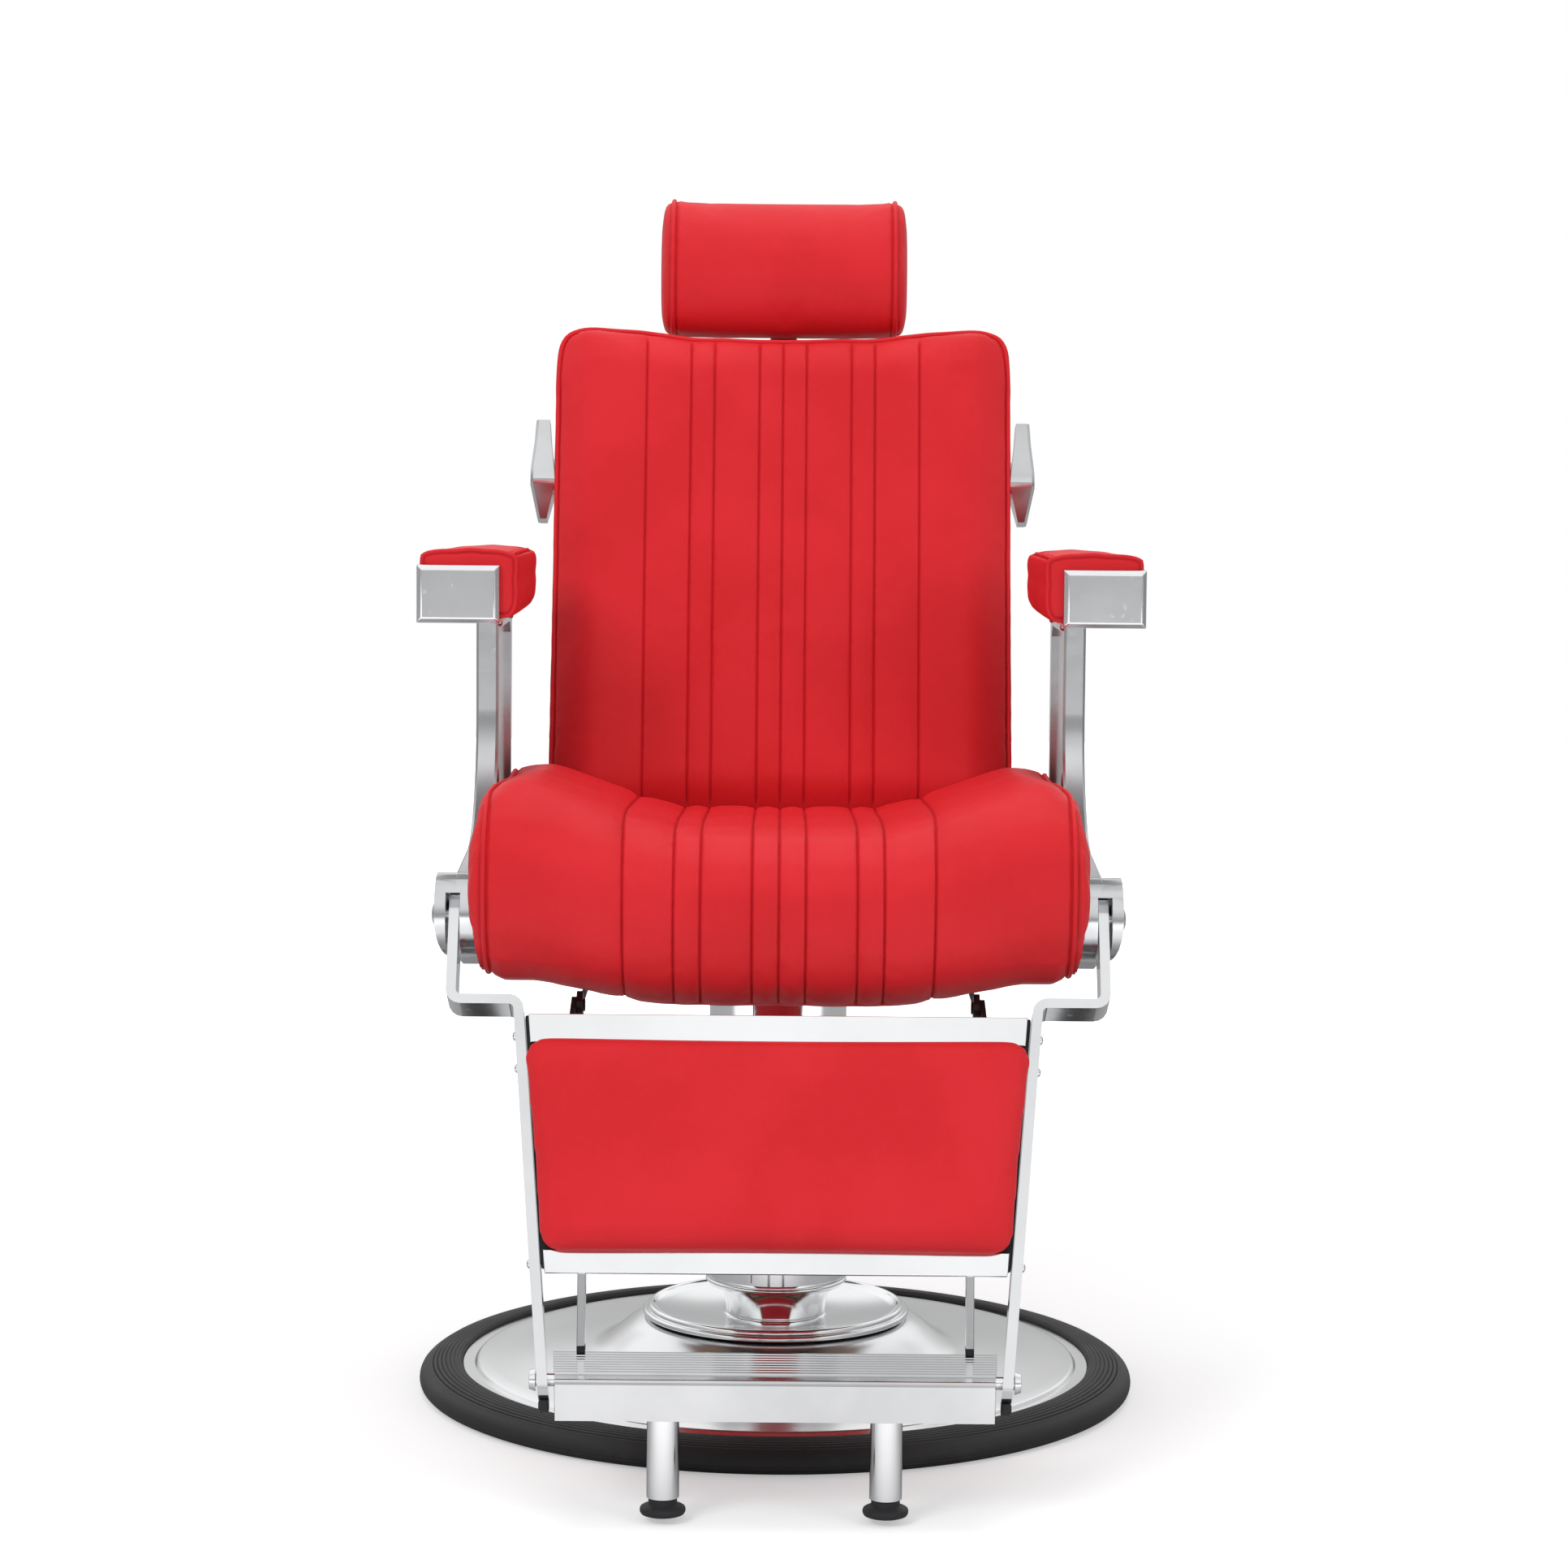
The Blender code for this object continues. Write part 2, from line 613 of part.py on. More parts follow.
def pleat_drop(x, depth=PLEAT_DEPTH):
    """How far the cover is pulled in at a distance x from the middle."""
    nearest = min(abs(abs(x) - offset) for offset in PLEAT_OFFSETS)
    return depth * max(0.0, 1.0 - nearest / PLEAT_HALF_WIDTH)


def pleated_stations(half_width, ends):
    """Distances from the middle at which a pleated cushion gets a section."""
    stations = set()
    for offset in PLEAT_OFFSETS:
        for shift in (-PLEAT_HALF_WIDTH, 0.0, PLEAT_HALF_WIDTH):
            stations.update((offset + shift, -offset - shift))
    for end in ends:
        stations.update((half_width - end, end - half_width))
    return sorted(stations)


def smooth_step(value):
    value = min(1.0, max(0.0, value))
    return value * value * (3 - 2 * value)


def seat_section(x):
    """Side outline of the seat cushion at a distance x from the middle, in world Y and Z."""
    out = smooth_step((abs(x) - 0.10) / 0.13)
    end = smooth_step((abs(x) - SEAT_HALF_WIDTH + 0.022) / 0.022)
    drop = pleat_drop(x)
    crest = PIVOT_HEIGHT + SEAT_CREST_RISE + SEAT_BOLSTER_RISE * out
    bottom = PIVOT_HEIGHT - SEAT_ROLL_RADIUS + SEAT_BOTTOM_RISE * out
    rear = PIVOT_HEIGHT + SEAT_REAR_RISE + SEAT_BOLSTER_RISE * out - drop
    middle = (crest + bottom) / 2
    half_height = (crest - bottom) / 2 * (1 - 0.10 * end) - drop
    reach = SEAT_ROLL_RADIUS * (1 - 0.10 * end) - drop
    roll = []
    for i in range(9):
        angle = math.radians(90 + 22.5 * i)
        roll.append((LEG_PIVOT_Y + reach * math.cos(angle), middle + half_height * math.sin(angle)))
    floor = pan_bottom() + PAN_THICKNESS + GAP
    draw = 0.010 * end
    back_edge = PAN_FRONT_Y - 0.003
    top = [(SEAT_REAR_Y - draw, floor + 0.012), (SEAT_REAR_Y + 0.003 - draw, (floor + rear) / 2),
           (SEAT_REAR_Y - 0.002 - draw, rear - 0.014), (SEAT_REAR_Y - 0.020 - draw, rear - 0.2 * draw),
           (0.040, rear + 0.004 - draw), (-0.070, (rear + 2 * (crest - drop)) / 3 - draw),
           (-0.160, crest - drop - draw - 0.001)]
    under = [(back_edge - 0.012, bottom + 0.012 + draw), (back_edge, (bottom + floor) / 2), (back_edge, floor),
             (0.0, floor), (SEAT_REAR_Y - 0.012 - draw, floor)]
    return top + roll + under


def make_seat_cushion():
    ends = (0.0, 0.006, 0.022, 0.050)
    loops = []
    for x in pleated_stations(SEAT_HALF_WIDTH, ends):
        outline = seat_section(x)
        side = math.copysign(1.0, x)
        past = smooth_step((abs(x) - SEAT_HALF_WIDTH + 0.050) / 0.050)
        loop = []
        for y, z in outline:
            ahead = smooth_step((-y + LEG_PIVOT_Y - BOSS_RADIUS - 0.004) / 0.020)
            loop.append((x + side * SEAT_FRONT_BULGE * past * ahead, y, z - MOUNT_HEIGHT))
        loops.append(loop)
    solid("seat_cushion", loft(loops), "upholstery", SEAT, math.radians(50))


# ---- Arms -------------------------------------------------------------------------
def arm_outline():
    """Side outline of the cast arm frame: a boss in front, swept back and up to the arm tray."""
    boss = (LEG_PIVOT_Y, PIVOT_HEIGHT - MOUNT_HEIGHT)
    top = TRAY_BOTTOM - GAP - MOUNT_HEIGHT
    bottom = ARM_BOTTOM - MOUNT_HEIGHT
    front = ARM_UPRIGHT_FRONT_Y
    rear = ARM_UPRIGHT_REAR_Y
    radius = BOSS_RADIUS
    sweep = 0.130
    sweep_centre = (front - sweep, boss[1] + radius + 0.006 + sweep)
    points = [(rear, top), (front, top)]
    points += arc(sweep_centre, sweep, 0, -78, 11)
    points += arc(boss, radius, 80, 290, 9)
    points += [(boss[0] + 0.060, bottom), (ARM_UPRIGHT_REAR_Y - 0.050, bottom)]
    points += arc((rear - 0.040, bottom + 0.045), 0.040, -60, 0, 4)
    points += [(rear - 0.006, (bottom + top) / 2)]
    return points


def make_arm_frame(side):
    near, far = sorted_pair(side * ARM_INNER_X, side * (ARM_INNER_X + ARM_THICKNESS))
    name = f"arm_frame_{SIDE_NAMES[side]}"
    bm = prism(arm_outline(), near, far)
    bmesh.ops.bevel(bm, geom=rim_edges(bm), offset=0.0025, segments=1, profile=0.5, affect="EDGES")
    frame = solid(name, bm, "chrome", SEAT, math.radians(40))
    boss = (LEG_PIVOT_Y, PIVOT_HEIGHT - MOUNT_HEIGHT)
    inner = side * ARM_INNER_X
    outer = side * BOSS_OUTER_X
    join(frame, "boss", cylinder(BOSS_RADIUS - 0.0006, (inner + side * 0.001, *boss), (outer, *boss), 28))
    under = arc((BOSS_OUTER_X - BOSS_UNDERCUT, boss[1] + 0.004), BOSS_UNDERCUT, 0, -90, 7)
    under[1:-1] = [(x, boss[1] + 0.004 + (z - boss[1] - 0.004) * (BOSS_RADIUS + 0.006) / BOSS_UNDERCUT)
                   for x, z in under[1:-1]]
    under[-1] = (BOSS_OUTER_X - BOSS_UNDERCUT, boss[1] - BOSS_RADIUS - 0.002)
    under += [(BOSS_OUTER_X - BOSS_UNDERCUT, boss[1] - 2 * BOSS_RADIUS),
              (BOSS_OUTER_X + 0.01, boss[1] - 2 * BOSS_RADIUS), (BOSS_OUTER_X + 0.01, boss[1] + 0.004)]
    cut(frame, "boss_curve", prism(mirrored(under, side), boss[0] - 0.06, boss[0] + 0.06, "XZ"))
    pocket = arm_pocket(inner, side)
    cut(frame, "pocket", pocket)
    slot_half = BAR_GAUGE / 2 + SIDE_GAP + 0.001
    low_x, high_x = sorted_pair(side * (LEG_BAR_PIVOT_X - slot_half), side * (LEG_BAR_PIVOT_X + slot_half))
    back = BAR_DEPTH / 2 + 0.005
    slot = block((low_x, boss[0] - 2 * BOSS_RADIUS, boss[1] - 2 * BOSS_RADIUS),
                 (high_x, boss[0] + back, boss[1] + back))
    cut(frame, "slot", slot)
    bore = cylinder(PIVOT_PIN_RADIUS + GAP, (inner - side * 0.01, *boss), (side * (BOSS_OUTER_X + 0.01), *boss))
    cut(frame, "bore", bore)


def rim_edges(bm):
    """Edges that bound a prism's two flat ends."""
    ends = [face for face in bm.faces if len(face.verts) > 4]
    return list({edge for face in ends for edge in face.edges})


def arm_pocket(inner, side):
    """The recess in the arm frame's inner face, a rim's width inside its outline."""
    top = TRAY_BOTTOM - MOUNT_HEIGHT - ARM_RIM
    front = ARM_UPRIGHT_FRONT_Y + ARM_RIM
    rear = ARM_UPRIGHT_REAR_Y - ARM_RIM - 0.008
    bottom = ARM_BOTTOM - MOUNT_HEIGHT + 0.055
    outline = [(rear, top - 0.012), (rear - 0.012, top), (front + 0.012, top), (front, top - 0.012),
               *arc((front - 0.09, bottom + 0.100), 0.090, 0, -60, 5),
               (rear - 0.050, bottom), *arc((rear - 0.030, bottom + 0.030), 0.030, -60, 0, 3)]
    near, far = sorted_pair(inner - side * 0.01, inner + side * ARM_POCKET_DEPTH)
    return prism(outline, near, far)


def make_arm_tray(side):
    """The chrome casting under the pad: front block, outer wall, floor and rear wall."""
    low = TRAY_BOTTOM - MOUNT_HEIGHT
    outer = TRAY_OUTER_X
    inner = outer - TRAY_WIDTH
    near, far = sorted_pair(side * inner, side * outer)
    bm = block((near, TRAY_FRONT_Y, low), (far, TRAY_REAR_Y, low + TRAY_HEIGHT))
    front = [edge for edge in bm.edges if all(vert.co.y < TRAY_FRONT_Y + GAP for vert in edge.verts)]
    bmesh.ops.bevel(bm, geom=front, offset=TRAY_BEVEL, segments=1, profile=0.5, affect="EDGES")
    tray = solid(f"arm_tray_{SIDE_NAMES[side]}", bm, "chrome", SEAT)
    near, far = sorted_pair(side * (inner - 0.01), side * (outer - TRAY_WALL))
    pocket = block((near, TRAY_FRONT_Y + TRAY_END_WALL, low + TRAY_WALL),
                   (far, TRAY_REAR_Y - TRAY_END_WALL, low + TRAY_HEIGHT + 0.01))
    cut(tray, "pocket", pocket)


def make_arm_pad(side):
    """A pad crowned along and across, resting in the tray and hanging past its inner side."""
    low = TRAY_BOTTOM - MOUNT_HEIGHT + TRAY_WALL + GAP
    lip = TRAY_BOTTOM - MOUNT_HEIGHT + TRAY_HEIGHT
    top = lip + ARM_PAD_RISE
    outer = TRAY_OUTER_X - TRAY_WALL - GAP
    inner = TRAY_OUTER_X - TRAY_WIDTH - ARM_PAD_OVERHANG
    middle = (outer + inner) / 2
    across = [(outer, low), (outer, lip + 0.004), (outer - 0.003, lip + 0.0085), (outer - 0.014, top - 0.003),
              (middle, top), (inner + 0.020, top - 0.0025), (inner + 0.008, lip + 0.007),
              (inner + 0.002, lip - 0.004), (inner, (low + lip) / 2), (inner + 0.002, low + 0.010),
              (inner + 0.009, low), (middle, low)]
    start = TRAY_FRONT_Y + TRAY_END_WALL + GAP
    end = TRAY_REAR_Y - TRAY_END_WALL - GAP
    centre = Vector((middle, (low + top) / 2))
    loops = []
    for share, swell in ((0.0, 0.92), (0.02, 0.975), (0.10, 0.99), (0.3, 1.0), (0.7, 1.0),
                         (0.90, 0.99), (0.98, 0.975), (1.0, 0.92)):
        y = start + (end - start) * share
        loop = []
        for x, z in across:
            drawn = centre + (Vector((x, z)) - centre) * swell
            loop.append((side * drawn.x, y, max(low, drawn.y)))
        loops.append(loop)
    solid(f"arm_pad_{SIDE_NAMES[side]}", loft(loops), "upholstery", SEAT, math.radians(50))


def make_pivot_pin(side):
    """The pin of the legrest bar, with its domed cap outside the boss."""
    z = PIVOT_HEIGHT - MOUNT_HEIGHT
    outer = BOSS_OUTER_X + GAP
    start = (side * (ARM_INNER_X + 0.002), LEG_PIVOT_Y, z)
    end = (side * (outer + 0.001), LEG_PIVOT_Y, z)
    pin = solid(f"pivot_pin_{SIDE_NAMES[side]}", cylinder(PIVOT_PIN_RADIUS, start, end, 16), "chrome", SEAT)
    cap = cylinder(PIVOT_CAP_RADIUS, (side * outer, LEG_PIVOT_Y, z),
                   (side * (outer + PIVOT_CAP_HEIGHT), LEG_PIVOT_Y, z), 16, PIVOT_CAP_RADIUS * 0.6)
    join(pin, "cap", cap)


# ---- Recline hinge, links and lock ------------------------------------------------
def crank_offset():
    """From a pivot to its crank's pin; the crank swings evenly either side of straight down."""
    half = RECLINE_TRAVEL / 2
    return CRANK_LENGTH * math.sin(half), -CRANK_LENGTH * math.cos(half)


def make_hinge_shaft():
    z = PIVOT_HEIGHT - MOUNT_HEIGHT
    ear_inner = BRACKET_INNER_X + BRACKET_THICKNESS + RUNNING_GAP
    collar = ear_inner + EAR_THICKNESS + RUNNING_GAP
    reach = collar + HINGE_COLLAR_WIDTH
    shaft = solid("hinge_shaft", cylinder(HINGE_SHAFT_RADIUS, (-reach, HINGE_Y, z), (reach, HINGE_Y, z)),
                  "polished_steel", SEAT)
    for side in (LEFT, RIGHT):
        ends = (side * collar, HINGE_Y, z), (side * reach, HINGE_Y, z)
        join(shaft, f"collar_{SIDE_NAMES[side]}", cylinder(HINGE_COLLAR_RADIUS, *ends))


def in_back_frame(dy, dz):
    """A world offset from the hinge as the back's own Y and Z."""
    c, s = math.cos(RECLINE_TILT), math.sin(RECLINE_TILT)
    return dy * c - dz * s, dy * s + dz * c


def panel_rear():
    return -BACK_REAR + GAP + PANEL_THICKNESS


def make_back_bracket(side):
    """The steel arm from the tie tube past the hinge and up behind the back panel."""
    tie = in_back_frame(*crank_offset())
    front = panel_rear() + GAP
    rear = front + BRACKET_WIDTH
    eye = 0.021
    outline = [(front, BRACKET_TOP), (rear - 0.012, BRACKET_TOP), (rear, BRACKET_TOP - 0.020), (rear, 0.0)]
    outline += arc(tie, 0.017, 10, -125, 6)
    outline += arc((0.0, 0.0), eye, -120, -260, 8)
    outline += [(front, 0.031)]
    near, far = sorted_pair(side * BRACKET_INNER_X, side * (BRACKET_INNER_X + BRACKET_THICKNESS))
    bracket = solid(f"back_bracket_{SIDE_NAMES[side]}", prism(outline, near, far), "black_steel", BACK)
    reach_low, reach_high = near - 0.01, far + 0.01
    cut(bracket, "hinge_bore", cylinder(HINGE_SHAFT_RADIUS + RUNNING_GAP, (reach_low, 0, 0), (reach_high, 0, 0)))
    cut(bracket, "tie_bore", cylinder(TIE_RADIUS + GAP, (reach_low, *tie), (reach_high, *tie), 16))


def make_back_tie():
    """The tube between the brackets that pushes the links and the lock rod."""
    tie = in_back_frame(*crank_offset())
    reach = BRACKET_INNER_X + BRACKET_THICKNESS
    solid("back_tie", cylinder(TIE_RADIUS, (-reach, *tie), (reach, *tie), 16), "polished_steel", BACK)


def make_link_rod(side, link):
    """A rod with an eye at each end: round the back's tie tube and the legrest lever's pin."""
    half = LINK_WIDTH / 2
    length = HINGE_Y - LEG_PIVOT_Y
    rod = solid(f"link_rod_{SIDE_NAMES[side]}",
                cylinder(LINK_ROD_RADIUS, (0, -LINK_EYE_RADIUS * 0.8, 0), (0, LINK_EYE_RADIUS * 0.8 - length, 0), 12),
                "black_steel", link)
    for name, y, bore in (("rear", 0.0, TIE_RADIUS), ("front", -length, LEVER_PIN_RADIUS)):
        join(rod, f"{name}_eye", cylinder(LINK_EYE_RADIUS, (-half, y, 0), (half, y, 0), 16))
        cut(rod, f"{name}_bore", cylinder(bore + RUNNING_GAP, (-half - 0.01, y, 0), (half + 0.01, y, 0), 16))


def make_lock_cylinder():
    """The recline lock under the frame plate, with the saddle that hangs it there."""
    z = crank_height() - MOUNT_HEIGHT
    body = solid("lock_cylinder", cylinder(LOCK_RADIUS, (LOCK_X, LOCK_FRONT_Y, z), (LOCK_X, LOCK_REAR_Y, z)),
                 "black_steel", SEAT, math.radians(40))
    half = LOCK_RADIUS * 0.55
    for name, y in (("front", LOCK_FRONT_Y + 0.010), ("rear", LOCK_REAR_Y - 0.034)):
        saddle = block((LOCK_X - half, y, z), (LOCK_X + half, y + 0.020, MOUNT_THICKNESS))
        join(body, f"{name}_saddle", saddle)
    bore = cylinder(LOCK_ROD_RADIUS + RUNNING_GAP, (LOCK_X, LOCK_FRONT_Y + 0.012, z), (LOCK_X, LOCK_REAR_Y + 0.01, z), 12)
    cut(body, "bore", bore)


def crank_height():
    return PIVOT_HEIGHT + crank_offset()[1]


def make_lock_rod():
    """The lock's rod, with a slotted yoke round the tie tube for the crank's small rise and fall."""
    tie_y = HINGE_Y + crank_offset()[0]
    fall = CRANK_LENGTH - CRANK_LENGTH * math.cos(RECLINE_TRAVEL / 2)
    slot = TIE_RADIUS + 0.0016
    wall = 0.005
    low = -fall - slot - wall
    high = slot + wall
    rod = solid("lock_rod", cylinder(LOCK_ROD_RADIUS, (0, LOCK_REAR_Y - LOCK_ENGAGEMENT - tie_y, 0), (0, -slot - 0.001, 0), 12),
                "polished_steel", LOCK)
    half = YOKE_WIDTH / 2
    join(rod, "yoke", block((-half, -slot - wall, low), (half, slot + wall, high), 0.002))
    outline = arc((0.0, 0.0), slot, 0, 180, 8) + arc((0.0, -fall), slot, 180, 360, 8)
    cut(rod, "slot", prism(outline, -half - 0.005, half + 0.005))


# ---- Back and headrest ------------------------------------------------------------
def corner_drop(x, half_width, radius):
    """How far a rounded corner pulls an edge in at a distance x from the middle."""
    over = abs(x) - (half_width - radius)
    if over <= 0:
        return 0.0
    over = min(over, radius)
    return radius - math.sqrt(max(0.0, radius * radius - over * over))


def back_section(x):
    """Side outline of the back cushion at a distance x from the middle, as own Y and Z."""
    corner = corner_drop(x, BACK_HALF_WIDTH, BACK_CORNER)
    out = smooth_step((abs(x) - 0.135) / 0.05)
    edge = smooth_step((abs(x) - BACK_HALF_WIDTH + 0.042) / 0.042)
    top = BACK_TOP - corner - BACK_TOP_DIP * (1 - smooth_step((abs(x) - 0.05) / 0.13))
    bottom = BACK_BOTTOM + corner
    face = BACK_FRONT + BACK_BOLSTER * out - BACK_EDGE_DRAW * edge - pleat_drop(x)
    rear = BACK_REAR
    thick = face - rear
    points = [(rear, top - 0.004), (rear + 0.3 * thick, top), (rear + 0.75 * thick, top - 0.002),
              (face - 0.008, top - 0.010), (face - 0.001, top - 0.040)]
    height = top - bottom
    points += [(face, bottom + height * share) for share in (0.72, 0.5, 0.28)]
    points += [(face - 0.001, bottom + 0.040), (face - 0.008, bottom + 0.010),
               (rear + 0.75 * thick, bottom + 0.002), (rear + 0.3 * thick, bottom), (rear, bottom + 0.004)]
    return [(-forward, up) for forward, up in points]


def make_back_cushion():
    ends = (0.0, 0.005, 0.013, BACK_CORNER, 0.045)
    loops = [[(x, y, z) for y, z in back_section(x)] for x in pleated_stations(BACK_HALF_WIDTH, ends)]
    solid("back_cushion", loft(loops), "upholstery", BACK, math.radians(50))


def make_back_panel():
    """The padded rear panel, rounded at the corners and a little smaller than the cushion."""
    half = BACK_HALF_WIDTH - PANEL_INSET
    low, high = BACK_BOTTOM + PANEL_INSET + 0.004, BACK_TOP - BACK_TOP_DIP - PANEL_INSET
    r = PANEL_CORNER
    outline = arc((half - r, high - r), r, 0, 90, 5) + arc((r - half, high - r), r, 90, 180, 5)
    outline += arc((r - half, low + r), r, 180, 270, 5) + arc((half - r, low + r), r, 270, 360, 5)
    front = -BACK_REAR + GAP
    bm = prism(outline, front, front + PANEL_THICKNESS, "XZ")
    rear_edges = [edge for edge in rim_edges(bm) if edge.verts[0].co.y > front + PANEL_THICKNESS - GAP
                  and edge.verts[1].co.y > front + PANEL_THICKNESS - GAP]
    bmesh.ops.bevel(bm, geom=rear_edges, offset=0.006, segments=2, profile=0.5, affect="EDGES")
    solid("back_panel", bm, "upholstery", BACK, math.radians(40))


def make_back_handle(side):
    """The cast side handle: a blade that widens down to a forward ridge, then a short taper."""
    inner = BACK_HALF_WIDTH + GAP
    sections = [(HANDLE_TOP, 0.30, 0.86, 0.16, 0.46), (HANDLE_TOP - 0.025, 0.22, 0.90, 0.30, 0.62),
                (HANDLE_RIDGE + 0.012, 0.04, 1.0, 0.60, 0.95), (HANDLE_RIDGE, 0.0, 1.0, 0.66, 1.0),
                (HANDLE_RIDGE - 0.006, 0.0, 1.0, 0.60, 0.97), (HANDLE_BOTTOM, 0.36, 0.74, 0.20, 0.50)]
    loops = []
    for height, near, far, rear, front in sections:
        x_near, x_far = side * (inner + HANDLE_WIDTH * near), side * (inner + HANDLE_WIDTH * far)
        y_rear, y_front = 0.022 - 0.3 * HANDLE_DEPTH * rear, 0.022 - HANDLE_DEPTH * front
        chamfer = 0.003 * side
        loops.append([(x_near, y_rear, height), (x_far - chamfer, y_rear, height), (x_far, y_rear - 0.003, height),
                      (x_far, y_front + 0.003, height), (x_far - chamfer, y_front, height), (x_near, y_front, height)])
    handle = solid(f"back_handle_{SIDE_NAMES[side]}", loft(loops), "chrome", BACK)
    seat_low, seat_high = HANDLE_RIDGE - 0.012, HANDLE_RIDGE + 0.030
    near, far = sorted_pair(side * inner, side * (inner + HANDLE_WIDTH * 0.5))
    join(handle, "foot", block((near, 0.001, seat_low), (far, 0.016, seat_high), 0.002))


def bar_front():
    return panel_rear() + BAR_STANDOFF


def make_headrest_socket():
    """The guide on the back panel that the headrest bar slides through."""
    half = SOCKET_WIDTH / 2
    front = panel_rear() + GAP
    rear = bar_front() + BAR_THICKNESS + RUNNING_GAP + SOCKET_WALL
    socket = solid("headrest_socket", block((-half, front, SOCKET_BOTTOM), (half, rear, SOCKET_TOP), 0.003),
                   "chrome", BACK)
    slot = BAR_WIDTH / 2 + RUNNING_GAP
    cut(socket, "slot", block((-slot, bar_front() - RUNNING_GAP, SOCKET_BOTTOM - 0.01),
                              (slot, bar_front() + BAR_THICKNESS + RUNNING_GAP, SOCKET_TOP + 0.01)))


def make_headrest_bar():
    half = BAR_WIDTH / 2
    bm = block((-half, bar_front(), BAR_BOTTOM), (half, bar_front() + BAR_THICKNESS, BAR_TOP), 0.0015)
    solid("headrest_bar", bm, "chrome", HEADREST)


def headrest_section(x):
    """Side outline of the headrest cushion: full in front, flat where the bar carries it."""
    end = smooth_step((abs(x) - HEADREST_HALF_WIDTH + 0.009) / 0.009)
    draw = HEADREST_END_DRAW * end
    horn = 0.004 * smooth_step((abs(x) - HEADREST_HALF_WIDTH + 0.035) / 0.025)
    rear = bar_front() - GAP
    front = rear - HEADREST_THICKNESS + draw * 2
    top, bottom = HEADREST_TOP - 0.004 + horn - draw, HEADREST_BOTTOM + draw
    middle = (top + bottom) / 2
    half_height = (top - bottom) / 2
    bulge = []
    for i in range(9):
        angle = math.radians(78 - 19.5 * i)
        reach = (rear - front) * 0.62
        bulge.append((front + reach - reach * math.cos(angle) ** 0.8, middle + half_height * math.sin(angle) / math.sin(math.radians(78))))
    return [(rear, top - 0.016), (rear - 0.010, top - 0.003), *bulge, (rear - 0.010, bottom + 0.003),
            (rear, bottom + 0.016)]


def make_headrest_cushion():
    half = HEADREST_HALF_WIDTH
    stations = (half, half - 0.003, half - 0.009, half - 0.022, half - 0.050, 0.040, 0.0)
    places = sorted({*stations, *(-x for x in stations)})
    loops = [[(x, y, z) for y, z in headrest_section(x)] for x in places]
    solid("headrest_cushion", loft(loops), "upholstery", HEADREST, math.radians(50))


# ---- Legrest ----------------------------------------------------------------------
def bar_x(drop):
    """Middle of a side bar at a distance down from the pivot, below the joggle."""
    share = (drop - JOGGLE_DROP) / (LEG_LENGTH - JOGGLE_DROP)
    return LEG_BAR_TOP_X + (LEG_BAR_FOOT_X - LEG_BAR_TOP_X) * share


def bar_inner_x(drop):
    return bar_x(drop) - BAR_GAUGE / 2


def make_side_bar(side):
    """A flat bar, straight down from the pivot, joggled inwards and then along the board."""
    gauge, r = BAR_GAUGE, JOGGLE_RADIUS
    outer_x, top_x = LEG_BAR_PIVOT_X + gauge / 2, LEG_BAR_TOP_X + gauge / 2
    eye = BAR_DEPTH / 2
    tip = LEG_LENGTH + eye
    low, high = -JOGGLE_DROP - gauge / 2, -JOGGLE_DROP + gauge / 2
    tight = r - gauge
    outside = [(outer_x, eye), (outer_x, low + r)]
    outside += arc((outer_x - r, low + r), r, -22, -90, 3)
    outside += [(top_x + tight, low)]
    outside += arc((top_x + tight, low - tight), tight, 90, 180, 3)
    outside += [(bar_x(tip) + gauge / 2, -tip)]
    inside = [(bar_x(tip) - gauge / 2, -tip)]
    inside += arc((top_x - gauge + r, high - r), r, 180, 90, 4)
    inside += arc((outer_x - gauge - tight, high + tight), tight, -90, 0, 3)
    inside += [(outer_x - gauge, eye)]
    half = BAR_DEPTH / 2
    bm = prism(mirrored(outside + inside, side), -half, half, "XZ")
    ends = [edge for edge in bm.edges if square_end(edge, eye) or square_end(edge, -tip)]
    bmesh.ops.bevel(bm, geom=ends, offset=0.013, segments=3, profile=0.5, affect="EDGES")
    bar = solid(f"side_bar_{SIDE_NAMES[side]}", bm, "chrome", LEGREST, math.radians(35))
    top = side * LEG_BAR_PIVOT_X
    foot = side * LEG_BAR_FOOT_X
    cut(bar, "pivot_bore", cylinder(PIVOT_PIN_RADIUS + RUNNING_GAP, (top - 0.02, 0, 0), (top + 0.02, 0, 0), 16))
    cut(bar, "foot_bore", cylinder(FOOT_SHAFT_RADIUS + RUNNING_GAP, (foot - 0.02, 0, -LEG_LENGTH),
                                   (foot + 0.02, 0, -LEG_LENGTH), 16))


def square_end(edge, height):
    """True for an edge across the bar's gauge at a square end."""
    a, b = (vert.co for vert in edge.verts)
    return abs(a.z - height) < 0.0001 and abs(b.z - height) < 0.0001 and abs(a.y - b.y) < 0.0001


def tapered_plate(top, bottom, inset, rear, front, corner=0.0):
    """A plate between the side bars, from a drop at its top to one at its bottom."""
    top_x, bottom_x = bar_inner_x(top) - inset, bar_inner_x(bottom) - inset
    if corner:
        r = corner
        outline = arc((top_x - r, -top - r), r, 0, 90, 3) + arc((r - top_x, -top - r), r, 90, 180, 3)
        outline += arc((r - bottom_x, -bottom + r), r, 180, 270, 3) + arc((bottom_x - r, -bottom + r), r, 270, 360, 3)
    else:
        outline = [(top_x, -top), (-top_x, -top), (-bottom_x, -bottom), (bottom_x, -bottom)]
    return prism(outline, front, rear, "XZ")


def board_front():
    return -BOARD_THICKNESS


def make_legrest_board():
    board = tapered_plate(BOARD_TOP, BOARD_BOTTOM, GAP, 0.0, board_front())
    solid("legrest_board", board, "black_vinyl", LEGREST)


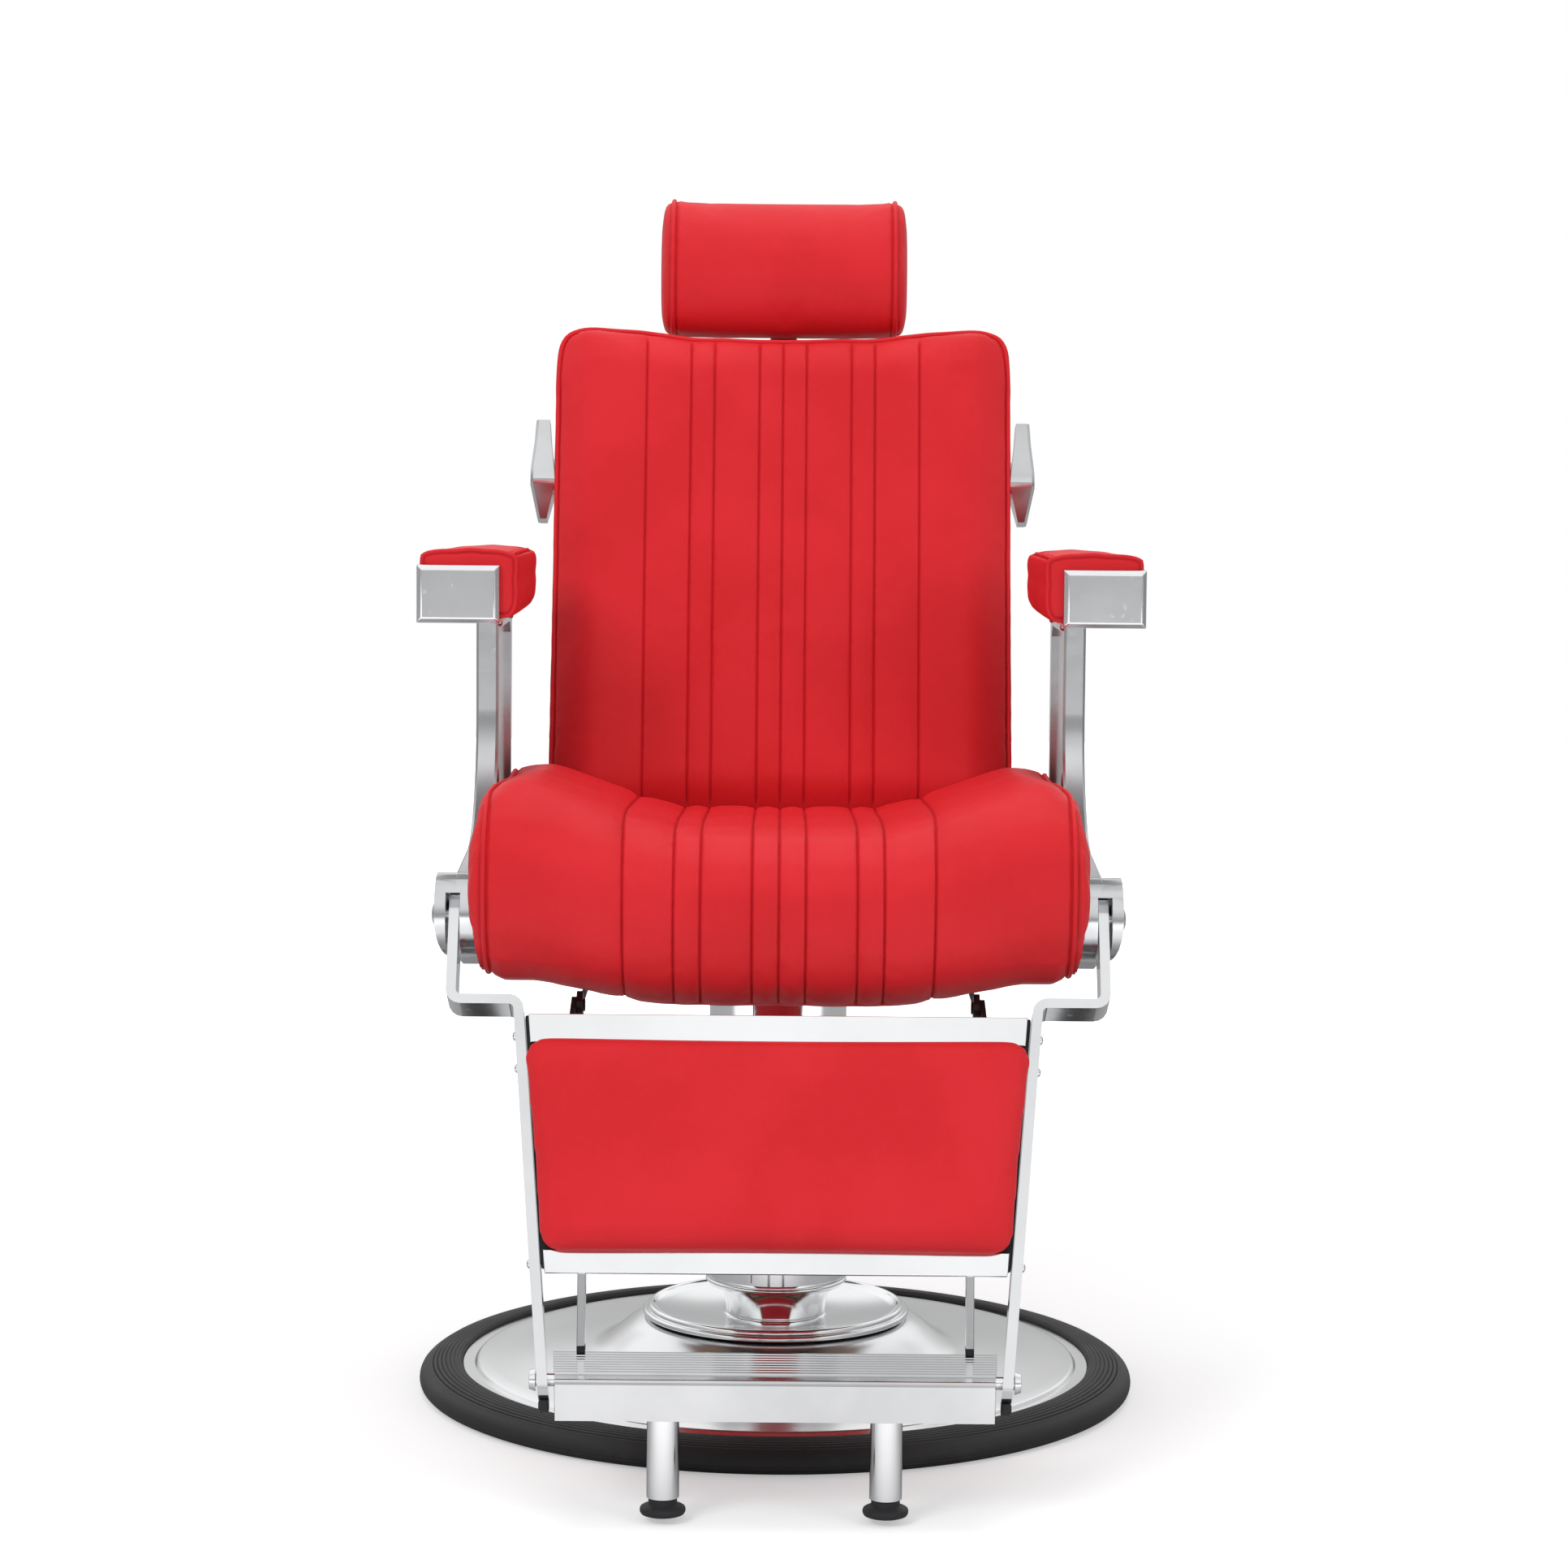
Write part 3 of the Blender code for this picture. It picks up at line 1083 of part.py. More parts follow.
def make_strips():
    rear = board_front() - GAP
    front = rear - STRIP_THICKNESS
    top_end = BOARD_TOP + TOP_STRIP_WIDTH
    bottom_start = STRIP_BOTTOM - BOTTOM_STRIP_WIDTH
    for name, high, low in (("top_strip", BOARD_TOP, top_end), ("bottom_strip", bottom_start, STRIP_BOTTOM)):
        solid(name, tapered_plate(high, low, STRIP_END_GAP, rear, front), "chrome", LEGREST)


def make_legrest_pad():
    """The calf pad between the strips, crowned and drawn in along its edge."""
    high = BOARD_TOP + TOP_STRIP_WIDTH + GAP
    low = STRIP_BOTTOM - BOTTOM_STRIP_WIDTH - GAP
    rear = board_front() - GAP
    bm = tapered_plate(high, low, STRIP_END_GAP - 0.001, rear, rear - LEG_PAD_EDGE, LEG_PAD_CORNER)
    face = min((f for f in bm.faces if len(f.verts) > 4), key=lambda f: f.calc_center_median().y)
    middle = -(high + low) / 2
    for share, rise in ((0.965, 0.45), (0.88, 0.85), (0.6, 1.0)):
        bmesh.ops.inset_region(bm, faces=[face], thickness=0.0001)
        for vert in face.verts:
            base = vert.co.copy()
            factor = share if rise < 0.5 else share / previous
            vert.co = Vector((base.x * factor, rear - LEG_PAD_EDGE - (LEG_PAD_CROWN - LEG_PAD_EDGE) * rise,
                              middle + (base.z - middle) * factor))
        previous = share
    solid("legrest_pad", bm, "upholstery", LEGREST, math.radians(50))


def in_leg_frame(dy, dz):
    """A world offset from the legrest pivot as the legrest's own Y and Z."""
    c, s = math.cos(LEG_TILT), math.sin(LEG_TILT)
    return dy * c - dz * s, dy * s + dz * c


def make_legrest_lever(side):
    """The black lever behind the board, whose pin the link rod pulls."""
    pin_y, pin_z = in_leg_frame(*crank_offset())
    root_z = -BOARD_TOP - 0.020
    inner = LINK_X + LINK_WIDTH / 2 + SIDE_GAP / 2
    near, far = sorted_pair(side * inner, side * (inner + LEVER_THICKNESS))
    half = LEVER_WIDTH / 2
    outline = [(GAP, root_z - 0.016), (GAP, root_z + 0.014), (0.012, root_z + half)]
    along = Vector((pin_y - 0.012, pin_z - root_z)).normalized()
    turn = math.degrees(math.atan2(along.y, along.x))
    outline += arc((pin_y, pin_z), half, turn + 90, turn - 90, 6)
    outline += [(0.014, root_z - half)]
    lever = solid(f"legrest_lever_{SIDE_NAMES[side]}", prism(outline, near, far), "black_steel", LEGREST)
    tip = side * (LINK_X - LINK_WIDTH / 2 - 0.002)
    join(lever, "pin", cylinder(LEVER_PIN_RADIUS, (tip, pin_y, pin_z), (side * (inner + LEVER_THICKNESS / 2), pin_y, pin_z), 14))


def tread_top_in_leg_frame(y_out):
    """Height in the legrest's frame of the level tread's top, a distance behind the shaft."""
    y, z = in_leg_frame(y_out, TREAD_TOP + RIB_HEIGHT)
    return y, z - LEG_LENGTH


def make_struts():
    """Two flat struts under the board whose rubber tips stop the tread's rear edge."""
    contact = TREAD_REAR - 0.0075
    tip_y, tip_z = tread_top_in_leg_frame(contact)
    c, s = math.cos(LEG_TILT), math.sin(LEG_TILT)
    half = STRUT_DEPTH / 2
    root_z = -BOARD_BOTTOM - GAP
    root_y = -BOARD_THICKNESS / 2

    def at(along, up):
        """A point beside the contact, level with the tread, and up off it."""
        return tip_y + along * c - up * s, tip_z + along * s + up * c

    for side in (LEFT, RIGHT):
        near, far = side * STRUT_X - STRUT_WIDTH / 2, side * STRUT_X + STRUT_WIDTH / 2
        rubber = [at(-half, GAP), at(half, GAP), at(half, STRUT_TIP_HEIGHT), at(-half, STRUT_TIP_HEIGHT)]
        solid(f"strut_tip_{SIDE_NAMES[side]}", prism(rubber, near, far), "black_rubber", LEGREST)
        steel = [at(-half, STRUT_TIP_HEIGHT + GAP), at(half, STRUT_TIP_HEIGHT + GAP), (root_y + half, root_z),
                 (root_y - half, root_z)]
        solid(f"strut_{SIDE_NAMES[side]}", prism(steel, near, far), "chrome", LEGREST)


def make_bumper(side):
    """The rubber block at the foot of a side bar."""
    low = -LEG_LENGTH - BAR_DEPTH / 2 - GAP
    x = side * bar_x(LEG_LENGTH + BAR_DEPTH / 2)
    half = BAR_GAUGE / 2
    bm = block((x - half, -0.006, low - BUMPER_HEIGHT), (x + half, 0.006, low), 0.0015)
    solid(f"bar_bumper_{SIDE_NAMES[side]}", bm, "black_rubber", LEGREST)


def make_footrest_shaft():
    """The shaft through the feet of the side bars, with a bolt head outside each."""
    head = bar_x(LEG_LENGTH - FOOT_BOLT_RADIUS) + BAR_GAUGE / 2 + GAP
    end = head + FOOT_BOLT_HEIGHT
    shaft = solid("footrest_shaft", cylinder(FOOT_SHAFT_RADIUS, (-head - 0.001, 0, -LEG_LENGTH),
                                             (head + 0.001, 0, -LEG_LENGTH), 16), "chrome", LEGREST)
    for side in (LEFT, RIGHT):
        bolt = cylinder(FOOT_BOLT_RADIUS, (side * head, 0, -LEG_LENGTH), (side * end, 0, -LEG_LENGTH), 18,
                        FOOT_BOLT_RADIUS * 0.8)
        join(shaft, f"bolt_{SIDE_NAMES[side]}", bolt)


# ---- Footrest ---------------------------------------------------------------------
def tread_half_width():
    return bar_inner_x(LEG_LENGTH + BAR_DEPTH / 2) - SIDE_GAP


def tread_body(inset, ribbed):
    """The tread's bent plate as a tapered prism, or the hollow inside it."""
    top = TREAD_TOP - inset
    front, rear = inset - TREAD_FRONT, TREAD_REAR - inset
    drop = inset * 4
    outline = [(rear, top)]
    if ribbed:
        pitch = (TREAD_REAR + TREAD_FRONT - 0.024) / RIB_COUNT
        start = TREAD_REAR - 0.006
        for i in range(RIB_COUNT):
            y = start - i * pitch
            outline += [(y, top), (y - 0.0015, top + RIB_HEIGHT), (y - 0.0055, top + RIB_HEIGHT), (y - 0.007, top)]
    radius = 0.0045 - 0.8 * inset
    outline += arc((front + radius, top - radius), radius, 90, 180, 3)
    outline += [(front, TREAD_TOP - TREAD_FRONT_SKIRT - drop), (front + 0.026, TREAD_TOP - TREAD_FRONT_SKIRT - drop),
                (0.004, TREAD_TOP - 0.031 - drop), (0.016, TREAD_TOP - 0.027 - drop),
                (rear, TREAD_TOP - TREAD_REAR_SKIRT - drop)]
    half = tread_half_width() - inset
    bm = prism(outline, -half, half)
    for vert in bm.verts:
        share = (TREAD_REAR - vert.co.y) / (TREAD_REAR + TREAD_FRONT)
        vert.co.x *= 1 - TREAD_FRONT_NARROWING * share / half
    return bm


def make_footrest_tread():
    tread = solid("footrest_tread", tread_body(0.0, True), "chrome", FOOTREST, math.radians(40))
    cut(tread, "inside", tread_body(TREAD_WALL, False))
    reach = tread_half_width() + 0.01
    bore = cylinder(FOOT_SHAFT_RADIUS + RUNNING_GAP, (-reach, 0, 0), (reach, 0, 0), 16)
    cut(tread, "shaft_bore", bore)


def shaft_height():
    """The footrest shaft above the floor, at rest."""
    return PIVOT_HEIGHT - LEG_LENGTH * math.cos(LEG_TILT)


def make_footrest_leg(side):
    y = LEG_TUBE_SETBACK - TREAD_FRONT
    foot_top = FOOT_CLEARANCE + FOOT_HEIGHT - shaft_height()
    x = side * LEG_TUBE_X
    name = SIDE_NAMES[side]
    leg = cylinder(LEG_TUBE_RADIUS, (x, y, foot_top + GAP), (x, y, TREAD_TOP - TREAD_WALL - GAP), 24)
    solid(f"footrest_leg_{name}", leg, "chrome", FOOTREST, math.radians(40))
    low, radius = foot_top - FOOT_HEIGHT, FOOT_RADIUS
    profile = [(0.0, foot_top), (radius - 0.004, foot_top), (radius - 0.003, foot_top - 0.005),
               (radius, foot_top - 0.0065), (radius - 0.001, low + 0.002), (radius - 0.003, low), (0.0, low)]
    turned(f"footrest_foot_{name}", profile, "black_rubber", FOOTREST, 24, False, (x, y, 0))


# ---- Pump pedal -------------------------------------------------------------------
def revolved(profile, steps=ROUND_LARGE):
    """A closed body of revolution from (radius, height) points."""
    turns = [2 * math.pi * i / steps for i in range(steps)]
    return loft([[(r * math.cos(a), r * math.sin(a), z) for a in turns] for r, z in profile])


def make_pedal_bracket():
    """A clevis on the dome behind the column collar."""
    inner = PEDAL_ARM_WIDTH / 2 + SIDE_GAP
    outer = inner + PEDAL_CHEEK
    y, z = PEDAL_PIVOT_Y, PEDAL_PIVOT_HEIGHT
    front, rear = COLLAR_RADIUS + 0.006, y + 0.022
    outline = [(front, COVER_CREASE_HEIGHT), (front, z - 0.020), *arc((y, z), 0.012, 150, 0, 6),
               (rear, z - 0.022), (rear, COVER_CREASE_HEIGHT - 0.004)]
    bracket = solid("pedal_bracket", prism(outline, -outer, outer), "black_steel", BASE)
    fork = block((-inner, front - 0.01, z - 0.0165), (inner, rear + 0.01, z + 0.03))
    cut(bracket, "fork", fork)
    dome = [(radius, height + GAP) for radius, height in dome_profile()]
    cut(bracket, "dome", revolved([(0.001, 0.0), (COVER_CREASE_RADIUS + 0.05, 0.0),
                                   (COVER_CREASE_RADIUS + 0.05, COVER_CREASE_HEIGHT - 0.008), *reversed(dome)]))
    join(bracket, "pin", cylinder(PEDAL_PIN_RADIUS, (-outer + 0.001, y, z), (outer - 0.001, y, z), 14))


def make_pedal():
    half = PEDAL_ARM_WIDTH / 2
    t = PEDAL_ARM_THICKNESS / 2
    level = PEDAL_REACH - PEDAL_PAD_LENGTH - 0.004
    outline = arc((0.0, 0.0), 0.011, 90, 270, 8)
    outline += [(0.050, -0.003), (level, PEDAL_RISE - t), (PEDAL_REACH, PEDAL_RISE - t),
                (PEDAL_REACH, PEDAL_RISE + t), (level, PEDAL_RISE + t), (0.050, 0.011)]
    arm = solid("pedal_arm", prism(outline, -half, half), "chrome", PEDAL)
    bore = cylinder(PEDAL_PIN_RADIUS + RUNNING_GAP, (-half - 0.01, 0, 0), (half + 0.01, 0, 0), 16)
    cut(arm, "bore", bore)
    low = PEDAL_RISE + t + GAP
    wide = PEDAL_PAD_WIDTH / 2
    pad = block((-wide, PEDAL_REACH - PEDAL_PAD_LENGTH, low), (wide, PEDAL_REACH, low + PEDAL_PAD_THICKNESS),
                0.003, 2)
    solid("pedal_pad", pad, "black_rubber", PEDAL)


# ---- Recline release lever --------------------------------------------------------
def make_release_lever():
    half, tall = RELEASE_THICKNESS / 2, RELEASE_WIDTH / 2
    neck = RELEASE_LENGTH - GRIP_LENGTH
    outline = arc((0.0, 0.0), tall, 90, 270, 8) + [(neck, -tall), (neck, tall)]
    lever = solid("recline_lever", prism(outline, -half, half), "chrome", RELEASE)
    tang = 0.0025
    join(lever, "tang", block((-tang, neck - 0.002, -tang), (tang, RELEASE_LENGTH - 0.010, tang)))
    cut(lever, "bore", cylinder(RELEASE_PIN_RADIUS + RUNNING_GAP, (-0.01, 0, 0), (0.01, 0, 0), 14))
    grip = cylinder(GRIP_RADIUS, (0, neck + GAP, 0), (0, RELEASE_LENGTH, 0), 18)
    bmesh.ops.bevel(grip, geom=rim_edges(grip), offset=0.003, segments=2, profile=0.5, affect="EDGES")
    grip = solid("recline_grip", grip, "black_rubber", RELEASE, math.radians(40))
    hole = tang + GAP
    cut(grip, "hole", block((-hole, neck - 0.01, -hole), (hole, RELEASE_LENGTH - 0.010 + GAP, hole)))


# ---- Assembly ---------------------------------------------------------------------
clear_scene()
PARTS = new_collection("barber_chair")
CUTTERS = new_collection("cutters")
MATERIALS = {name: make_material(name) for name in FINISHES}

pivots = PIVOT_HEIGHT - MOUNT_HEIGHT
crank_y, crank_z = crank_offset()
BASE = joint_frame("base_frame", (0, 0, 0))
PEDAL = joint_frame("pedal_hinge", (0, PEDAL_PIVOT_Y, PEDAL_PIVOT_HEIGHT), 0.0, BASE)
LIFT = joint_frame("lift_slide", (0, 0, 0), 0.0, BASE)
SEAT = joint_frame("seat_swivel", (0, 0, MOUNT_HEIGHT), 0.0, LIFT)
BACK = joint_frame("recline_hinge", (0, HINGE_Y, pivots), -RECLINE_TILT, SEAT)
HEADREST = joint_frame("headrest_slide", (0, 0, 0), 0.0, BACK)
LEGREST = joint_frame("legrest_hinge", (0, LEG_PIVOT_Y, pivots), -LEG_TILT, SEAT)
FOOTREST = joint_frame("footrest_hinge", (0, 0, -LEG_LENGTH), LEG_TILT, LEGREST)
LOCK = joint_frame("lock_slide", (LOCK_X, HINGE_Y + crank_y, pivots + crank_z), 0.0, SEAT)
RELEASE = joint_frame("release_hinge", (release_x(), RELEASE_PIVOT_Y, cross_tube_bottom() - RELEASE_DROP),
                      0.0, SEAT)

make_base_ring()
make_base_plate()
make_base_cover()
make_pump_cylinder()
make_column_collar()
make_pedal_bracket()
make_pedal()
make_piston_rod()
make_column_shroud()
make_mount_plate()
make_seat_frame()
make_seat_pan()
make_seat_cushion()
make_hinge_shaft()
make_lock_cylinder()
make_lock_rod()
make_release_lever()
make_back_tie()
make_back_panel()
make_back_cushion()
make_headrest_socket()
make_headrest_bar()
make_headrest_cushion()
make_legrest_board()
make_strips()
make_legrest_pad()
make_struts()
make_footrest_shaft()
make_footrest_tread()
for arm_side in (LEFT, RIGHT):
    make_arm_frame(arm_side)
    make_arm_tray(arm_side)
    make_arm_pad(arm_side)
    make_pivot_pin(arm_side)
    make_back_bracket(arm_side)
    make_back_handle(arm_side)
    link = joint_frame(f"link_hinge_{SIDE_NAMES[arm_side]}",
                       (arm_side * LINK_X, HINGE_Y + crank_y, pivots + crank_z), 0.0, SEAT)
    make_link_rod(arm_side, link)
    make_side_bar(arm_side)
    make_legrest_lever(arm_side)
    make_bumper(arm_side)
    make_footrest_leg(arm_side)
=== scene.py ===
import math
import bmesh
import bpy
from mathutils import Matrix, Vector
from mathutils.bvhtree import BVHTree
from mathutils.kdtree import KDTree


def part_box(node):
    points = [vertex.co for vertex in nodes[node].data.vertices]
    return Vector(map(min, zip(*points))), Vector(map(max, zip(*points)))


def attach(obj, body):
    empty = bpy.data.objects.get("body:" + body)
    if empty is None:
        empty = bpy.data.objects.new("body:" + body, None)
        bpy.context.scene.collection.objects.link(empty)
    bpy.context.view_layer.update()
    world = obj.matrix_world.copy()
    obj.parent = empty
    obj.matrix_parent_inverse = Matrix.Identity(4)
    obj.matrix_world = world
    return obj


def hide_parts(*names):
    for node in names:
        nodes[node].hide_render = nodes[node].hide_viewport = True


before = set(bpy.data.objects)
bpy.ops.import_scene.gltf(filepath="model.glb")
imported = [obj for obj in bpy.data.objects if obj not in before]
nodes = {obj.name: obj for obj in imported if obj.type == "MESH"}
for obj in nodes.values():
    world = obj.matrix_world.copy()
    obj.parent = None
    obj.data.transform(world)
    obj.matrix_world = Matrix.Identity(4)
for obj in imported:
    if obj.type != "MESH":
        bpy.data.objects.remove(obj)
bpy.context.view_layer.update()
print("frame loaded:", len(nodes), "nodes")

# camera: at the photograph's viewing angle, a long lens a little above the armrests
cameraSettings = {"place": (0.0, -3.830, 0.970), "lens": 87.95, "pitchDown": 5.35, "turnRight": 0.06,
                  "lean": 0.48}
cameraData = bpy.data.cameras.new("camera")
cameraData.lens = cameraSettings["lens"]
cameraData.sensor_width = 36
camera = bpy.data.objects.new("camera", cameraData)
aim = Matrix.Rotation(-math.radians(cameraSettings["turnRight"]), 3, "Z")
aim = aim @ Matrix.Rotation(math.radians(90 - cameraSettings["pitchDown"]), 3, "X")
aim = aim @ Matrix.Rotation(math.radians(cameraSettings["lean"]), 3, "Z")
camera.location = cameraSettings["place"]
camera.rotation_euler = aim.to_euler()
bpy.context.scene.collection.objects.link(camera)
bpy.context.scene.camera = camera
bpy.context.scene.view_settings.view_transform = "Standard"


class Wire:  # one socket, with the sums that shaders need
    def __init__(self, shader, socket):
        self.shader, self.socket = shader, socket

    def maths(self, operation, *others, swap=False, clamp=False):
        values = [self, *others][::-1] if swap else [self, *others]
        return self.shader.node("ShaderNodeMath", {"operation": operation, "use_clamp": clamp}, values)

    def __add__(self, other): return self.maths("ADD", other)
    def __sub__(self, other): return self.maths("SUBTRACT", other)
    def __rsub__(self, other): return self.maths("SUBTRACT", other, swap=True)
    def __mul__(self, other): return self.maths("MULTIPLY", other)

    def clamped(self): return self.maths("ADD", 0.0, clamp=True)

    def steps(self, low, high, start=0.0, end=1.0):  # smooth change from start to end between low and high
        values = {"Value": self, "From Min": low, "From Max": high, "To Min": start, "To Max": end}
        return self.shader.node("ShaderNodeMapRange", {"interpolation_type": "SMOOTHSTEP"}, values)


class Shader:  # a material with one Principled node
    def __init__(self, name, colour, roughness, metallic=0.0, **fixed):
        self.material = bpy.data.materials.new(name)
        self.material.use_nodes = True
        self.tree = self.material.node_tree
        self.main = self.tree.nodes["Principled BSDF"]
        self.place = Wire(self, self.tree.nodes.new("ShaderNodeTexCoord").outputs["Object"])
        self.material.diffuse_color = (*colour, 1)
        self.set(**{"Base Color": (*colour, 1), "Roughness": roughness, "Metallic": metallic})
        self.set(**{key.replace("_", " "): value for key, value in fixed.items()})

    def put(self, socket, value):
        if isinstance(value, Wire):
            self.tree.links.new(value.socket, socket)
        else:
            socket.default_value = value

    def set(self, **values):
        for key, value in values.items():
            self.put(self.main.inputs[key], value)

    def node(self, kind, settings=None, values=(), output=0):
        made = self.tree.nodes.new(kind)
        for key, value in (settings or {}).items():
            setattr(made, key, value)
        pairs = values.items() if isinstance(values, dict) else enumerate(values)
        for key, value in pairs:
            self.put(made.inputs[key], value)
        return Wire(self, made.outputs[output])

    def stretched(self, scale):
        return self.node("ShaderNodeMapping", None, {"Vector": self.place, "Scale": scale})

    def noise(self, scale, detail=3.0, rough=0.5, place=None):
        return self.node("ShaderNodeTexNoise", None, {"Vector": place or self.place, "Scale": scale,
                                                      "Detail": detail, "Roughness": rough})

    def cells(self, scale):  # the distance to the edges of small cells
        return self.node("ShaderNodeTexVoronoi", {"feature": "DISTANCE_TO_EDGE"},
                         {"Vector": self.place, "Scale": scale})

    def mix(self, factor, first, second):
        made = self.tree.nodes.new("ShaderNodeMix")
        made.data_type = "RGBA"
        self.put(made.inputs[0], factor)
        for index, value in ((6, first), (7, second)):
            self.put(made.inputs[index], value if isinstance(value, Wire) else (*value, 1))
        return Wire(self, made.outputs[2])

    def split(self, wire):
        made = self.tree.nodes.new("ShaderNodeSeparateXYZ")
        self.put(made.inputs[0], wire)
        return [Wire(self, out) for out in made.outputs]

    def attribute(self, name):
        return self.node("ShaderNodeAttribute", {"attribute_name": name}, (), "Fac")

    def bump(self, height, strength, distance=0.001, over=None):
        values = {"Height": height, "Strength": strength, "Distance": distance}
        if over:
            values["Normal"] = over
        return self.node("ShaderNodeBump", None, values)


def sewnVinyl(name, looks):  # semi-gloss upholstery vinyl with a fine pebbled grain, and painted shade in its pleat grooves and beside its piping cords
    made = Shader(name, looks["colour"], looks["roughness"], Specular_IOR_Level=0.26)
    patches = made.noise(9.0, 4)
    fine = made.noise(60.0, 3)
    seam = made.attribute("seam")
    tone = made.mix(patches.steps(0.35, 0.65), looks["colour"], looks["shade"])
    tone = made.mix(fine.steps(0.55, 0.8, 0.0, 0.25), tone, looks["worn"])
    # painted shade: the grooves and the dips beside the cords darkened by their stored mask
    tone = made.mix((seam * 0.75).clamped(), tone, looks["seam"])
    wrinkle = made.bump(made.noise(38.0, 5, 0.6), 0.10, 0.003)
    pebbles = made.bump(made.cells(looks["grain"]).steps(0.0, 0.18), 0.16, 0.0006, wrinkle)
    rough = (patches - 0.5) * 0.14 + fine * 0.08 + seam * 0.2 + looks["roughness"] - 0.04
    made.set(**{"Base Color": tone, "Roughness": rough, "Normal": pebbles})
    return made.material


def mirrorChrome(name, looks):  # plated steel: faint wipe marks, hairlines and a slightly wavy skin
    made = Shader(name, looks["colour"], looks["roughness"], 1.0)
    haze = made.noise(6.0, 5, 0.6)
    hairline = made.noise(420.0, 2, 0.5, made.stretched(looks["brushing"]))
    dust = made.noise(150.0, 2)
    marks = looks.get("marks", 1.0)
    waves = made.noise(looks["waves"], 2)
    rough = haze.steps(0.35, 0.8, looks["roughness"], looks["roughness"] + 0.07)
    rough = rough + dust.steps(0.62, 0.8, 0.0, 0.08 * marks) + hairline * (0.02 * marks)
    scratches = made.bump(hairline, 0.03 * marks, 0.0002)
    made.set(**{"Base Color": made.mix(haze.steps(0.3, 0.75), looks["colour"], looks["shade"]),
                "Roughness": rough, "Normal": made.bump(waves, looks["waviness"], 0.004, scratches)})
    return made.material


def rubber(name, looks):  # moulded black rubber, a little dusty
    made = Shader(name, looks["colour"], looks["roughness"], Specular_IOR_Level=0.35)
    dust = made.noise(26.0, 5, 0.65)
    fine = made.noise(900.0, 2)
    made.set(**{"Base Color": made.mix(dust.steps(0.5, 0.85, 0.0, 0.55), looks["colour"], looks["dust"]),
                "Roughness": dust * 0.2 + looks["roughness"] - 0.1,
                "Normal": made.bump(fine, 0.12, 0.0004)})
    return made.material


def blackPaint(name, looks):  # sprayed satin enamel, rubbed to grey in places
    made = Shader(name, looks["colour"], looks["roughness"], looks["metal"])
    peel = made.noise(260.0, 2)
    rubbed = made.noise(18.0, 6, 0.7)
    made.set(**{"Base Color": made.mix(rubbed.steps(0.62, 0.75, 0.0, 0.7), looks["colour"], looks["rubbed"]),
                "Roughness": rubbed * 0.25 + looks["roughness"] - 0.12,
                "Normal": made.bump(peel, 0.10, 0.0006)})
    return made.material


def plywood(name, looks):  # face veneer with long grain
    made = Shader(name, looks["colour"], looks["roughness"])
    grain = made.noise(9.0, 6, 0.6, made.stretched((2, 22, 60)))
    pores = made.noise(120.0, 2, 0.5, made.stretched((1, 12, 12)))
    made.set(**{"Base Color": made.mix(grain.steps(0.35, 0.7), looks["colour"], looks["shade"]),
                "Roughness": pores * 0.2 + 0.5, "Normal": made.bump(pores, 0.2, 0.0005)})
    return made.material


finishes = {
    # the darkest colour of each vinyl is painted shade for its pleat grooves and cord dips
    "vinyl": {"colour": (0.70, 0.018, 0.026), "shade": (0.645, 0.014, 0.020), "worn": (0.72, 0.026, 0.032),
              "seam": (0.40, 0.008, 0.013), "roughness": 0.50, "grain": 900.0},
    "edging": {"colour": (0.014, 0.014, 0.015), "shade": (0.011, 0.011, 0.012), "worn": (0.03, 0.03, 0.032),
               "seam": (0.01, 0.01, 0.01), "roughness": 0.50, "grain": 900.0},
    "chrome": {"colour": (0.86, 0.87, 0.88), "shade": (0.78, 0.79, 0.80), "roughness": 0.08,
               "brushing": (1, 1, 0.05), "waves": 3.0, "waviness": 0.16},
    "satin": {"colour": (0.83, 0.835, 0.845), "shade": (0.78, 0.785, 0.795), "roughness": 0.20,
              "brushing": (1, 1, 0.2), "waves": 3.0, "waviness": 0.03, "marks": 0.15},
    # painted shade: the arm frames, back handles and pin caps are the same chrome, coloured darker so they read
    # greyer
    "casting": {"colour": (0.66, 0.67, 0.685), "shade": (0.56, 0.57, 0.585), "roughness": 0.17,
                "brushing": (0.1, 1, 1), "waves": 12.0, "waviness": 0.10},
    # painted shade: the legrest bars' chrome coloured darker so they read greyer
    "bars": {"colour": (0.74, 0.75, 0.76), "shade": (0.66, 0.67, 0.68), "roughness": 0.10,
             "brushing": (1, 1, 0.05), "waves": 3.0, "waviness": 0.16},
    "tray": {"colour": (0.86, 0.865, 0.88), "shade": (0.78, 0.785, 0.80), "roughness": 0.14,
             "brushing": (0.1, 1, 1), "waves": 6.0, "waviness": 0.08},
    # painted shade: the footrest tread's chrome coloured darker so it reads greyer
    "tread": {"colour": (0.66, 0.67, 0.68), "shade": (0.55, 0.56, 0.57), "roughness": 0.12,
              "brushing": (0.05, 1, 1), "waves": 6.0, "waviness": 0.05},
    "steel": {"colour": (0.55, 0.56, 0.58), "shade": (0.42, 0.43, 0.45), "roughness": 0.20,
              "brushing": (1, 1, 0.03), "waves": 8.0, "waviness": 0.03},
    "rubber": {"colour": (0.022, 0.022, 0.024), "dust": (0.055, 0.054, 0.053), "roughness": 0.55},
    "paint": {"colour": (0.022, 0.022, 0.024), "rubbed": (0.12, 0.12, 0.125), "roughness": 0.42, "metal": 0.0},
    "iron": {"colour": (0.07, 0.07, 0.075), "rubbed": (0.16, 0.15, 0.14), "roughness": 0.65, "metal": 0.3},
    "board": {"colour": (0.45, 0.32, 0.19), "shade": (0.30, 0.20, 0.11), "roughness": 0.6},
}
